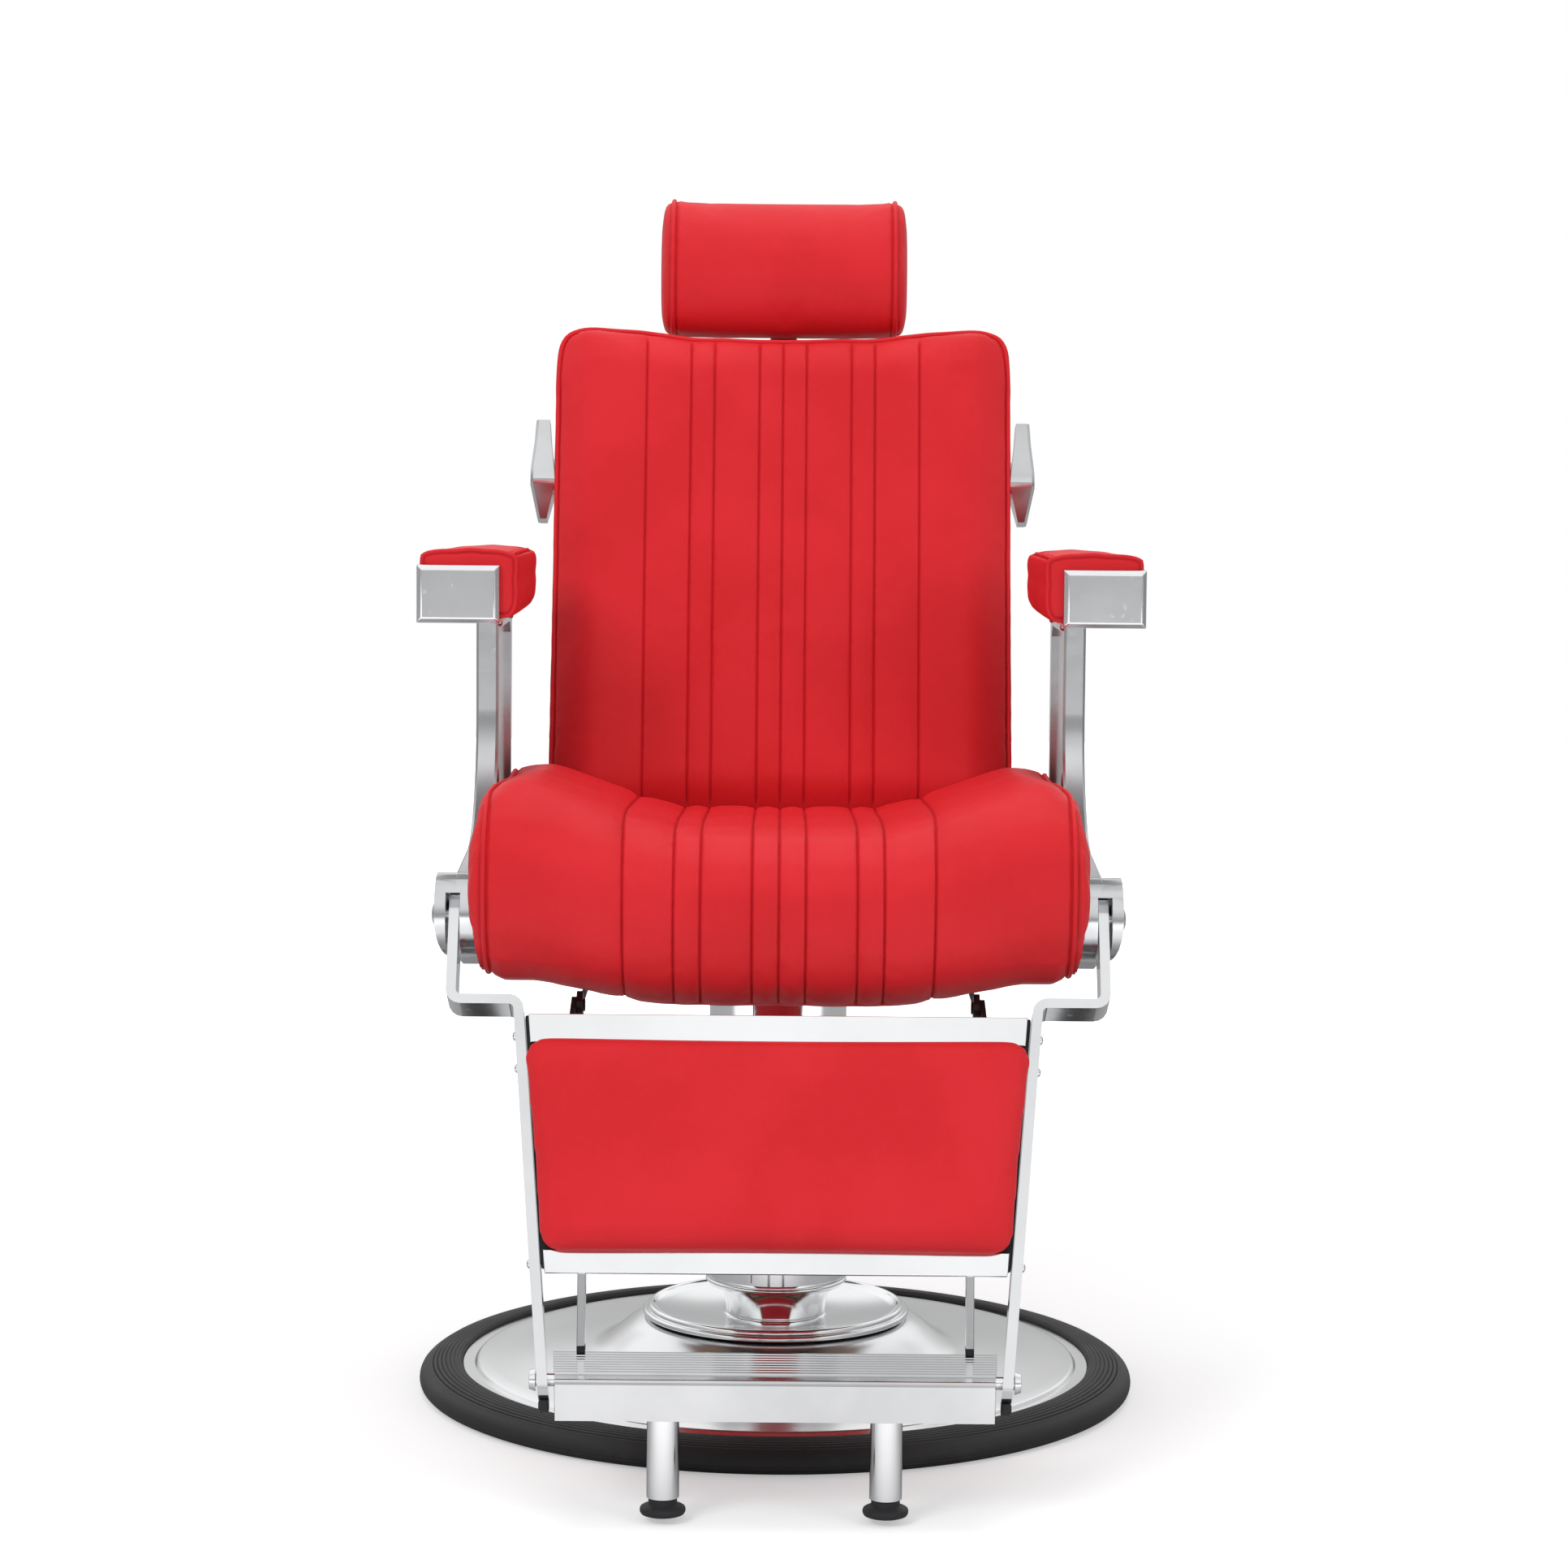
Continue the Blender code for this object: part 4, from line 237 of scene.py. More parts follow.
materials = {
    "vinyl": sewnVinyl("redVinyl", finishes["vinyl"]),
    "chrome": mirrorChrome("mirrorChrome", finishes["chrome"]),
    "casting": mirrorChrome("shadedCastingChrome", finishes["casting"]),
    "satin": mirrorChrome("satinChrome", finishes["satin"]),
    "bars": mirrorChrome("shadedBarChrome", finishes["bars"]),
    "tray": mirrorChrome("trayChrome", finishes["tray"]),
    "tread": mirrorChrome("shadedTreadChrome", finishes["tread"]),
    "steel": mirrorChrome("groundSteel", finishes["steel"]),
    "rubber": rubber("blackRubber", finishes["rubber"]),
    "paint": blackPaint("blackEnamel", finishes["paint"]),
    "iron": blackPaint("rawIron", finishes["iron"]),
    "board": plywood("sealedPlywood", finishes["board"]),
    "vinylBack": sewnVinyl("redBackVinyl", finishes["vinyl"]),
    "edging": sewnVinyl("blackEdging", finishes["edging"]),
}
nodeFinish = {
    "vinyl": "seat_cushion arm_pad_l arm_pad_r back_cushion back_panel headrest_cushion legrest_pad",
    "chrome": "base_cover column_collar column_shroud pivot_pin_l pivot_pin_r headrest_socket headrest_bar "
              "side_bar_l side_bar_r top_strip bottom_strip strut_l strut_r footrest_shaft footrest_tread "
              "footrest_leg_l footrest_leg_r pedal_arm recline_lever",
    "casting": "arm_frame_l arm_frame_r arm_tray_l arm_tray_r back_handle_l back_handle_r",
    "steel": "pump_cylinder piston_rod hinge_shaft lock_rod back_tie",
    "rubber": "base_ring footrest_foot_l footrest_foot_r strut_tip_l strut_tip_r bar_bumper_l bar_bumper_r "
              "pedal_pad recline_grip",
    "paint": "mount_plate seat_frame back_bracket_l back_bracket_r link_rod_l link_rod_r lock_cylinder "
             "legrest_lever_l legrest_lever_r pedal_bracket",
    "iron": "base_plate",
    "board": "seat_pan",
    "vinylBack": "legrest_board",
}
for finish, names in nodeFinish.items():
    for name in names.split():
        nodes[name].data.materials.clear()
        nodes[name].data.materials.append(materials[finish])
print("materials made")


# modelling helpers
def fromNode(name):  # a CAD node's shape, its loose triangles merged
    bm = bmesh.new()
    bm.from_mesh(nodes[name].data)
    bmesh.ops.remove_doubles(bm, verts=bm.verts, dist=0.00002)
    bmesh.ops.dissolve_limit(bm, angle_limit=math.radians(0.5), verts=bm.verts, edges=bm.edges)
    return bm


def pieceFrom(bm, name, body, finish, sharp=35.0, replaced=()):
    mesh = bpy.data.meshes.new(name)
    bm.to_mesh(mesh)
    bm.free()
    mesh.shade_smooth()
    if sharp:
        mesh.set_sharp_from_angle(angle=math.radians(sharp))
    piece = bpy.data.objects.new(name, mesh)
    bpy.context.scene.collection.objects.link(piece)
    mesh.materials.append(materials[finish])
    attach(piece, body)
    if replaced:
        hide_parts(*replaced)
    return piece


def applied(piece):  # the piece with its modifiers made permanent
    depsgraph = bpy.context.evaluated_depsgraph_get()
    mesh = bpy.data.meshes.new_from_object(piece.evaluated_get(depsgraph))
    piece.modifiers.clear()
    piece.data = mesh
    return piece


def tube(points, radius, closed=False, steps=8):  # round cord or rod along points
    bm = bmesh.new()
    count = len(points)
    rings = []
    side = None
    for i, point in enumerate(points):
        ahead = points[(i + 1) % count] if closed or i + 1 < count else points[i]
        behind = points[i - 1] if closed or i else points[0]
        along = (ahead - behind).normalized()
        if side is None:
            side = along.orthogonal().normalized()
        side = (side - along * side.dot(along)).normalized()
        other = along.cross(side)
        rings.append([bm.verts.new(point + radius * (math.cos(a) * side + math.sin(a) * other))
                      for a in (2 * math.pi * j / steps for j in range(steps))])
    pairs = list(zip(rings, rings[1:] + rings[:1])) if closed else list(zip(rings, rings[1:]))
    for near, far in pairs:
        for j in range(steps):
            bm.faces.new((near[j], near[(j + 1) % steps], far[(j + 1) % steps], far[j]))
    if not closed:
        bm.faces.new(rings[0][::-1])
        bm.faces.new(rings[-1])
    bmesh.ops.recalc_face_normals(bm, faces=bm.faces)
    return bm


def smoothed(points, rounds):
    for _ in range(rounds):
        inner = [(a + 2 * b + c) / 4 for a, b, c in zip(points, points[1:], points[2:])]
        points = [points[0], *inner, points[-1]]
    return points


def smoothedLoop(points):
    return [(points[i - 1] + 2 * points[i] + points[(i + 1) % len(points)]) / 4 for i in range(len(points))]


def evenly(points, spacing, closed=False):  # the same path with points at equal distances
    run = points + [points[0]] if closed else points
    lengths = [0.0]
    for a, b in zip(run, run[1:]):
        lengths.append(lengths[-1] + (b - a).length)
    count = max(2, round(lengths[-1] / spacing))
    result, span = [], 0
    for i in range(count + (0 if closed else 1)):
        at = lengths[-1] * i / count
        while span < len(lengths) - 2 and lengths[span + 1] < at:
            span += 1
        share = (at - lengths[span]) / max(1e-9, lengths[span + 1] - lengths[span])
        result.append(run[span].lerp(run[span + 1], min(1.0, share)))
    return result


def evened(piece, times):  # small waves worked out of a cover
    bm = bmesh.new()
    bm.from_mesh(piece.data)
    for _ in range(times):
        bmesh.ops.smooth_vert(bm, verts=bm.verts, factor=0.5, use_axis_x=True, use_axis_y=True, use_axis_z=True)
    bm.to_mesh(piece.data)
    bm.free()


def puffed(name, node, looks):  # a stuffed cover: the CAD cushion blown up a little by a cloth simulation
    bm = fromNode(node)
    mesh = bpy.data.meshes.new(name)
    bm.to_mesh(mesh)
    bm.free()
    piece = bpy.data.objects.new(name, mesh)
    bpy.context.scene.collection.objects.link(piece)
    even = piece.modifiers.new("even", "REMESH")
    even.mode = "VOXEL"
    even.voxel_size = looks["voxel"]
    applied(piece)
    evened(piece, looks["soften"])
    start = [vert.co.copy() for vert in piece.data.vertices]
    cloth = piece.modifiers.new("filling", "CLOTH")
    cloth.settings.quality = 4
    cloth.settings.use_pressure = True
    cloth.settings.uniform_pressure_force = looks["pressure"]
    cloth.settings.effector_weights.gravity = 0.0
    cloth.settings.tension_stiffness = cloth.settings.compression_stiffness = looks["stiffness"]
    cloth.point_cache.frame_start, cloth.point_cache.frame_end = 1, looks["frames"]
    for moment in range(1, looks["frames"] + 1):
        bpy.context.scene.frame_set(moment)
        bpy.context.view_layer.update()
    applied(piece)
    bpy.context.scene.frame_set(1)
    biggest = 0.0
    for vert, before in zip(piece.data.vertices, start):
        move = vert.co - before
        biggest = max(biggest, move.length)
        if move.length > looks["cap"]:
            move.length = looks["cap"]
        vert.co = before + move
    print(name, "filled, largest move", round(biggest * 1000, 1), "mm")
    finer = piece.modifiers.new("finer", "SUBSURF")
    finer.levels = finer.render_levels = 1
    applied(piece)
    return piece


# seat, back, headrest and pads
def gathered(piece, lines, looks, weight):  # stitched pleats: narrow grooves along planes of equal x, with a mask that carries painted shade into them
    bm = bmesh.new()
    bm.from_mesh(piece.data)
    half = looks["grooveHalf"]
    for line in lines:
        for shift in (-half, -half * 0.4, 0.0, half * 0.4, half):
            near = [v for v in bm.verts if abs(v.co.x - line) < 0.012]
            edges = {e for v in near for e in v.link_edges}
            faces = {f for v in near for f in v.link_faces}
            bmesh.ops.bisect_plane(bm, geom=[*near, *edges, *faces], dist=0.0002,
                                   plane_co=(line + shift, 0, 0), plane_no=(1, 0, 0))
    bm.normal_update()
    layer = bm.verts.layers.float.new("seam")
    moves = []
    for vert in bm.verts:
        distance = min(abs(vert.co.x - line) for line in lines)
        amount = weight(vert.co, vert.normal)
        wide = max(0.0, 1 - distance / looks["pullHalf"]) ** 2 * looks["pull"]
        narrow = (max(0.0, 1 - distance / half) ** 0.7) * looks["grooveDepth"]
        ridge = max(0.0, 1 - abs(distance - half * 1.15) / (half * 0.8)) * looks["ridge"]
        # the groove mask, used for painted shade and extra roughness in the vinyl
        vert[layer] = amount * max(0.0, 1 - distance / (half * 0.75))
        moves.append((vert, vert.normal * (-amount * (wide + narrow - ridge))))
    for vert, move in moves:
        vert.co += move
    bm.to_mesh(piece.data)
    bm.free()
    piece.data.shade_smooth()
    return piece


def surfaceOf(piece):  # for casting rays at a piece or a CAD node
    bm = bmesh.new()
    bm.from_mesh(piece.data)
    tree = BVHTree.FromBMesh(bm)
    bm.free()
    return tree


def ringRays(tree, centre, x, start, end, count):  # where rays in a plane of equal x leave the cushion
    points = []
    for i in range(count + 1):
        angle = math.radians(start + (end - start) * i / count)
        ahead = Vector((0, math.cos(angle), math.sin(angle)))
        far = Vector((x, *centre)) + ahead * 0.6
        hit = tree.ray_cast(far, -ahead)[0]
        if hit:
            points.append(hit)
    return points


def step(value, low, high):
    value = min(1.0, max(0.0, (value - low) / (high - low)))
    return value * value * (3 - 2 * value)


def refitted(piece, node, grow, up=Vector((0, 0, 1))):  # back to the size of the CAD cushion after the filling
    ahead = up.cross(Vector((1, 0, 0)))
    target = [vert.co for vert in nodes[node].data.vertices]
    for axis in (Vector((1, 0, 0)), up, ahead):
        want = [place.dot(axis) for place in target]
        have = [vert.co.dot(axis) for vert in piece.data.vertices]
        low, high = min(want) - grow, max(want) + grow
        start, end = min(have), max(have)
        for vert, value in zip(piece.data.vertices, have):
            vert.co += axis * (low + (value - start) * (high - low) / (end - start) - value)
    return piece


def levelled(piece, node, origin, up, out, looks):  # the top edge back on the CAD cushion's outline
    solid, cover = surfaceOf(nodes[node]), surfaceOf(piece)
    half, count = looks["halfWidth"] - 0.004, 28

    def topAt(tree, x):
        starts = [origin + Vector((x, 0, 0)) + up * 0.9 + out * (-0.02 + 0.01 * i) for i in range(9)]
        hits = [tree.ray_cast(start, -up)[0] for start in starts]
        return max((hit - origin).dot(up) for hit in hits if hit)

    places = [-half + 2 * half * i / count for i in range(count + 1)]
    shifts = [topAt(solid, x) - topAt(cover, x) for x in places]
    for vert in piece.data.vertices:
        place = min(0.9999, max(0.0, (vert.co.x + half) / (2 * half))) * count
        share = place - int(place)
        shift = shifts[int(place)] * (1 - share) + shifts[int(place) + 1] * share
        vert.co += up * shift * step((vert.co - origin).dot(up), looks["top"] - 0.09, looks["top"] - 0.015)


def sunkAlong(piece, paths, reach, depth):  # the cover pulled in on both sides of a sewn cord, with painted shade in the dips
    places = [point for path in paths for point in path]
    near = KDTree(len(places))
    for i, point in enumerate(places):
        near.insert(point, i)
    near.balance()
    bm = bmesh.new()
    bm.from_mesh(piece.data)
    for limit in (0.0095, 0.0060):
        close = {vert for vert in bm.verts if near.find(vert.co)[2] < limit}
        edges = [edge for edge in bm.edges if edge.verts[0] in close and edge.verts[1] in close]
        bmesh.ops.subdivide_edges(bm, edges=edges, cuts=1, use_grid_fill=True)
    bm.normal_update()
    layer = bm.verts.layers.float.get("seam") or bm.verts.layers.float.new("seam")
    moves = []
    for vert in bm.verts:
        distance = near.find(vert.co)[2]
        if distance < reach * 2.4:
            amount = max(0.0, 1 - abs(distance - reach) / reach)
            # marks the dips for painted shade in the vinyl
            vert[layer] = max(vert[layer], 0.9 * amount ** 2)
            moves.append((vert, vert.normal * (-depth * amount)))
    for vert, move in moves:
        vert.co += move
    bm.to_mesh(piece.data)
    bm.free()
    piece.data.shade_smooth()


def cushion(name, node, body, looks, lines=(), weight=None, up=Vector((0, 0, 1))):
    piece = refitted(puffed(name, node, looks), node, looks["grow"], up)
    if lines:
        gathered(piece, lines, looks, weight)
    piece.data.shade_smooth()
    piece.data.materials.clear()
    piece.data.materials.append(materials["vinyl"])
    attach(piece, body)
    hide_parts(node)
    return piece


pleatLines = [sign * offset for offset in (0.025, 0.073, 0.098, 0.145) for sign in (-1, 1)] + [0.0]
seatLooks = {"voxel": 0.0065, "soften": 3, "pressure": 4.0, "stiffness": 15.0, "frames": 12, "cap": 0.0025,
             "fill": 0.85, "grow": 0.0015, "grooveHalf": 0.0017, "grooveDepth": 0.0018, "pullHalf": 0.014,
             "pull": 0.0024, "ridge": 0.0004, "seamX": 0.2735, "seamRear": 0.135, "seamStep": 0.0145,
             "cord": 0.0024, "rollY": -0.235, "panFront": -0.185, "cornerX": 0.20, "cornerFill": 0.85}
pivotHeight = (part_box("pivot_pin_l")[0][2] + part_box("pivot_pin_l")[1][2]) / 2
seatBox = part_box("seat_cushion")


def seatPleats(place, normal):  # over the top and the front roll, down to the notched lower edge
    under = step(normal.z, -0.98, -0.86) if place.y > seatLooks["rollY"] else 1.0
    rear = step(seatBox[1][1] - 0.014 - place.y, 0.0, 0.012)
    return under * rear * step(place.z, seatBox[0][2] + 0.002, seatBox[0][2] + 0.004)


seat = cushion("seatCushion", "seat_cushion", "seat", seatLooks, pleatLines, seatPleats)
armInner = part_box("arm_frame_r")[0][0]
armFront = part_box("arm_frame_r")[0][1]
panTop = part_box("seat_pan")[1][2] + 0.0004
solid = surfaceOf(nodes["seat_cushion"])
for vert in seat.data.vertices:  # the front roll's lower corners filled out again to the CAD cushion's outline
    share = step(abs(vert.co.x), 0.19, 0.25) * step(pivotHeight - vert.co.z, 0.0, 0.05)
    share *= step(-0.17 - vert.co.y, 0.0, 0.05)
    centre = Vector((math.copysign(seatLooks["cornerX"], vert.co.x), seatLooks["rollY"], pivotHeight + 0.01))
    hit = solid.ray_cast(centre, vert.co - centre)[0] if share else None
    if hit:
        vert.co = vert.co.lerp(hit, seatLooks["cornerFill"] * share)
for vert in seat.data.vertices:  # flat against the arm frames beside it and on its pan below
    side = armInner - 0.0012 if vert.co.y > armFront - 0.003 else seatBox[1][0] + 0.004
    vert.co.x = min(max(vert.co.x, -side), side)
    if vert.co.y > seatLooks["panFront"]:
        vert.co.z = max(vert.co.z, panTop)
    if vert.co.z < pivotHeight + 0.06:
        vert.co.y = min(vert.co.y, seatBox[1][1] + 0.001)
seatTree = surfaceOf(seat)
seatPaths = []
for side, mark in ((-1, "Left"), (1, "Right")):
    x = side * seatLooks["seamX"]
    path = []
    for i in range(26):  # from the rear over the top, then around the front roll
        above = Vector((x, seatLooks["seamRear"] - i * seatLooks["seamStep"], 0.9))
        path.append(seatTree.ray_cast(above, Vector((0, 0, -1)))[0])
    path += ringRays(seatTree, (seatLooks["rollY"], pivotHeight + 0.008), x, 98, 268, 60)
    path = evenly(smoothed(evenly(path, 0.004), 6), 0.004)
    seatPaths.append(path)
    pieceFrom(tube(path, seatLooks["cord"]), f"seatPiping{mark}", "seat", "vinyl", 0)
sunkAlong(seat, seatPaths, 0.0034, 0.0016)
print("seat cushion done")

hinge = Vector((0.0, 0.2, pivotHeight))
recline = math.radians(15.0)
backUp = Vector((0, math.sin(recline), math.cos(recline)))
backOut = Vector((0, -math.cos(recline), math.sin(recline)))


def onBack(x, up, out):  # a point measured up the back and out towards the sitter
    return hinge + Vector((x, 0, 0)) + backUp * up + backOut * out


backLooks = {"voxel": 0.0065, "soften": 3, "pressure": 3.5, "stiffness": 15.0, "frames": 12, "cap": 0.0025,
             "fill": 0.8, "grow": 0.001, "grooveHalf": 0.0016, "grooveDepth": 0.0014, "pullHalf": 0.012,
             "pull": 0.0016, "ridge": 0.0004, "top": 0.575, "bottom": 0.040, "halfWidth": 0.2435,
             "corner": 0.028, "panelOut": -0.025 + 0.0003, "seamOut": 0.036, "cord": 0.0030}


def backPleats(place, normal):
    up = (place - hinge).dot(backUp)
    edge = step(backLooks["top"] - 0.011 - up, 0.0, 0.010)
    edge *= step(up, backLooks["bottom"] + 0.010, backLooks["bottom"] + 0.02)
    return edge * step(normal.dot(backOut), 0.35, 0.6)


back = cushion("backCushion", "back_cushion", "back", backLooks, pleatLines, backPleats, backUp)
levelled(back, "back_cushion", hinge, backUp, backOut, backLooks)
for vert in back.data.vertices:  # flat against the panel behind it
    out = (vert.co - hinge).dot(backOut)
    if out < backLooks["panelOut"]:
        vert.co += backOut * (backLooks["panelOut"] - out)
    vert.co.x = min(max(vert.co.x, -backLooks["halfWidth"] - 0.003), backLooks["halfWidth"] + 0.003)


def backOutline():  # the piped edge: a rectangle with rounded corners
    half, low, high, r = (backLooks[key] for key in ("halfWidth", "bottom", "top", "corner"))
    points = []
    for x, up, start in ((half - r, high - r, 0), (r - half, high - r, 90), (r - half, low + r, 180),
                         (half - r, low + r, 270)):
        for i in range(9):
            angle = math.radians(start + 90 * i / 8)
            points.append((x + r * math.cos(angle), up + r * math.sin(angle)))
    return points


backTree = surfaceOf(back)
path = evenly([onBack(x, up, backLooks["seamOut"]) for x, up in backOutline()], 0.006, True)
path = smoothedLoop([backTree.find_nearest(point)[0] for point in path])
pieceFrom(tube(path, backLooks["cord"], True), "backPiping", "back", "vinyl", 0)
sunkAlong(back, [path], 0.0040, 0.0016)
print("back cushion done")

headLooks = {"voxel": 0.0050, "soften": 3, "pressure": 3.5, "stiffness": 15.0, "frames": 12, "cap": 0.0022,
             "fill": 0.85, "grow": 0.001, "seamX": 0.1200, "cord": 0.0027}
head = cushion("headrestCushion", "headrest_cushion", "headrest", headLooks, up=backUp)
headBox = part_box("headrest_cushion")
headTree = surfaceOf(head)
headPaths = []
centre = ((headBox[0][1] + headBox[1][1]) / 2, (headBox[0][2] + headBox[1][2]) / 2)
for side, mark in ((-1, "Left"), (1, "Right")):
    path = ringRays(headTree, centre, side * headLooks["seamX"], 0, 354, 59)
    path = smoothedLoop(evenly(path, 0.004, True))
    headPaths.append(path)
    pieceFrom(tube(path, headLooks["cord"], True), f"headrestPiping{mark}", "headrest", "vinyl", 0)
sunkAlong(head, headPaths, 0.0036, 0.0014)
print("headrest done")

legLooks = {"voxel": 0.0045, "soften": 1, "pressure": 3.5, "stiffness": 15.0, "frames": 10, "cap": 0.0020,
            "fill": 0.8, "grow": 0.0020, "tilt": 28.2}
legTilt = math.radians(legLooks["tilt"])
legUp = Vector((0, math.sin(legTilt), math.cos(legTilt)))
cushion("legrestPad", "legrest_pad", "legrest", legLooks, up=legUp)

armLooks = {"voxel": 0.0030, "soften": 2, "pressure": 2.0, "stiffness": 15.0, "frames": 6, "cap": 0.0015,
            "fill": 0.7, "grow": 0.0, "cord": 0.0021, "endInset": 0.0035, "boxy": 0.55, "narrow": 0.0030,
            "arch": 0.20, "front": 1.07, "rear": 0.88}


def extentOf(piece):
    sides = list(zip(*[vert.co for vert in piece.data.vertices]))
    return Vector(map(min, sides)), Vector(map(max, sides))


def loopAround(tree, centre, y):  # where rays in a plane of equal y leave the pad
    points = []
    for i in range(72):
        angle = math.tau * i / 72
        ahead = Vector((math.cos(angle), 0, math.sin(angle)))
        hit = tree.ray_cast(Vector((centre[0], y, centre[1])) + ahead * 0.2, -ahead)[0]
        if hit:
            points.append(hit)
    return points


for side, mark in (("l", "Left"), ("r", "Right")):
    pad = cushion(f"armPad{mark}", f"arm_pad_{side}", "seat", armLooks)
    low, high = (Vector(corner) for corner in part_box(f"arm_pad_{side}"))
    half, middle = (high - low) / 2, (high + low) / 2
    outerX, narrow = (low[0], -armLooks["narrow"]) if side == "l" else (high[0], armLooks["narrow"])
    for vert in pad.data.vertices:  # a boxier section than the filling gives, and a little narrower inside
        u, v = (vert.co.x - middle.x) / half.x, (vert.co.z - middle.z) / half.z
        square = math.hypot(u, v) / max(0.05, abs(u), abs(v))
        boxy = armLooks["boxy"] * (0.2 + 0.8 * step(v, -0.5, 0.3))
        grow = 1 + (square - 1) * boxy * min(1.0, math.hypot(u, v))
        u, v = max(-1.0, min(1.0, u * grow)), max(-1.0, min(1.0, v * grow))
        if v > 0:
            share = (vert.co.y - low.y) / (high.y - low.y)
            v *= armLooks["front"] + (armLooks["rear"] - armLooks["front"]) * share - armLooks["arch"] * u * u
        x = middle.x + u * half.x
        vert.co.x = x + narrow * (outerX - x) / (outerX - (high[0] if side == "l" else low[0]))
        vert.co.z = middle.z + v * half.z
    evened(pad, 4)
    low, high = extentOf(pad)
    tree = surfaceOf(pad)
    centre = ((low[0] + high[0]) / 2, (low[2] + high[2]) / 2)
    padPaths = []
    for y, end in ((low[1] + armLooks["endInset"], "Front"), (high[1] - armLooks["endInset"], "Rear")):
        path = evenly(loopAround(tree, centre, y), 0.003, True)
        padPaths.append(path)
        pieceFrom(tube(path, armLooks["cord"], True), f"armPiping{mark}{end}", "seat", "vinyl", 0)
    sign = -1 if side == "l" else 1
    innerX = low[0] if side == "r" else high[0]
    path = []
    slope = Vector((-sign, 0, 1.15)).normalized()
    for i in range(60):  # the cord along the pad's upper inner edge
        y = low[1] + armLooks["endInset"] + (high[1] - low[1] - 2 * armLooks["endInset"]) * i / 59
        hit = tree.ray_cast(Vector((innerX + sign * 0.020, y, high[2] - 0.022)) + slope * 0.1, -slope)[0]
        if hit:
            path.append(hit)
    path = smoothed(path, 3)
    padPaths.append(path)
    pieceFrom(tube(path, armLooks["cord"]), f"armPiping{mark}Inner", "seat", "vinyl", 0)
    sunkAlong(pad, padPaths, 0.0030, 0.0010)

panelLooks = {"voxel": 0.0060, "soften": 2, "pressure": 2.0, "stiffness": 15.0, "frames": 8, "cap": 0.001,
              "fill": 0.3, "grow": 0.0}
cushion("backPanel", "back_panel", "back", panelLooks, up=backUp)
print("pads done")


# base, column and the other turned pieces, spun from the sizes of the CAD solids
def lathed(name, profile, body, finish, replaced=(), centre=(0.0, 0.0), steps=144):
    bm = bmesh.new()
    points = [bm.verts.new((centre[0] + radius, centre[1], height)) for radius, height in profile]
    edges = [bm.edges.new(pair) for pair in zip(points, points[1:])]
    if profile[0][0] > 0.0001:
        edges.append(bm.edges.new((points[-1], points[0])))
    bmesh.ops.spin(bm, geom=points + edges, cent=(*centre, 0), axis=(0, 0, 1), angle=math.tau, steps=steps,
                   use_merge=True, use_duplicate=False)
    bmesh.ops.remove_doubles(bm, verts=bm.verts, dist=0.00001)
    bmesh.ops.recalc_face_normals(bm, faces=bm.faces)
    return pieceFrom(bm, name, body, finish, 28.0, replaced)


def bead(radius, height, size, start, end, count=8):  # an arc of a profile, angles in degrees
    return [(radius + size * math.cos(math.radians(a)), height + size * math.sin(math.radians(a)))
            for a in (start + (end - start) * i / count for i in range(count + 1))]


ringLooks = {"radius": 0.3605, "width": 0.043, "height": 0.029, "ribs": 7, "ribSpacing": 0.0042,
             "ribDepth": 0.0008, "fall": 0.0062}
inner = ringLooks["radius"] - ringLooks["width"]
profile = [(inner, ringLooks["height"] - 0.003), (inner + 0.002, ringLooks["height"] - 0.0008)]
for i in range(ringLooks["ribs"]):
    start = inner + 0.004 + i * ringLooks["ribSpacing"]
    fall = ringLooks["fall"] * (i / ringLooks["ribs"]) ** 2
    for ahead, rise in ((0.0, -1.0), (0.0008, -0.1), (0.0019, 0.0), (0.0030, -0.1), (0.0038, -1.0)):
        profile.append((start + ahead, ringLooks["height"] - 0.0004 - fall + rise * ringLooks["ribDepth"]))
profile += [(0.3540, 0.0213), (0.3563, 0.0196), (0.3585, 0.0172), (0.3598, 0.0145), (0.3604, 0.0118),
            (0.3605, 0.0092), (0.3600, 0.0086), (0.3600, 0.0080), (0.3602, 0.0074), (0.3593, 0.0050),
            (0.3572, 0.0028), (0.3540, 0.0012), (0.3480, 0.0002), (0.3465, 0.0), (inner, 0.0)]
lathed("rubberRing", profile, "base", "rubber", ("base_ring",))

cover = {"rim": 0.3172, "step": 0.3037, "rimTop": 0.0238, "stepTop": 0.0278, "crease": 0.190,
         "creaseHeight": 0.038, "domeRadius": 0.130, "domeHeight": 0.070, "bore": 0.0455, "wall": 0.002}
outside = [(cover["bore"], cover["domeHeight"]), (cover["domeRadius"] - 0.02, cover["domeHeight"])]
fall = cover["domeHeight"] - cover["creaseHeight"]
for i in range(17):  # the dome's flank; the small rise per step keeps neighbouring heights apart
    share = i / 16
    outside.append((cover["domeRadius"] + (cover["crease"] - cover["domeRadius"]) * share,
                    cover["domeHeight"] - fall * share ** 2 * (3 - 2 * share) + 0.00001 * i))
for i in range(1, 9):  # the slightly hollow skirt
    share = i / 8
    sag = 0.0012 * math.sin(math.pi * share)
    outside.append((cover["crease"] + (cover["step"] - 0.004 - cover["crease"]) * share,
                    cover["creaseHeight"] + (cover["stepTop"] - cover["creaseHeight"]) * share - sag))
outside += [(cover["step"] - 0.0025, cover["stepTop"] - 0.0003),
            (cover["step"] - 0.001, cover["stepTop"] - 0.0015),
            (cover["step"] + 0.0002, cover["rimTop"] + 0.0008), (cover["step"] + 0.0012, cover["rimTop"]),
            (cover["rim"] - 0.001, cover["rimTop"]), (cover["rim"], cover["rimTop"] - 0.0006)]
profile = outside + [(radius, height - cover["wall"]) for radius, height in reversed(outside)]
lathed("baseCover", profile, "base", "satin", ("base_cover",))

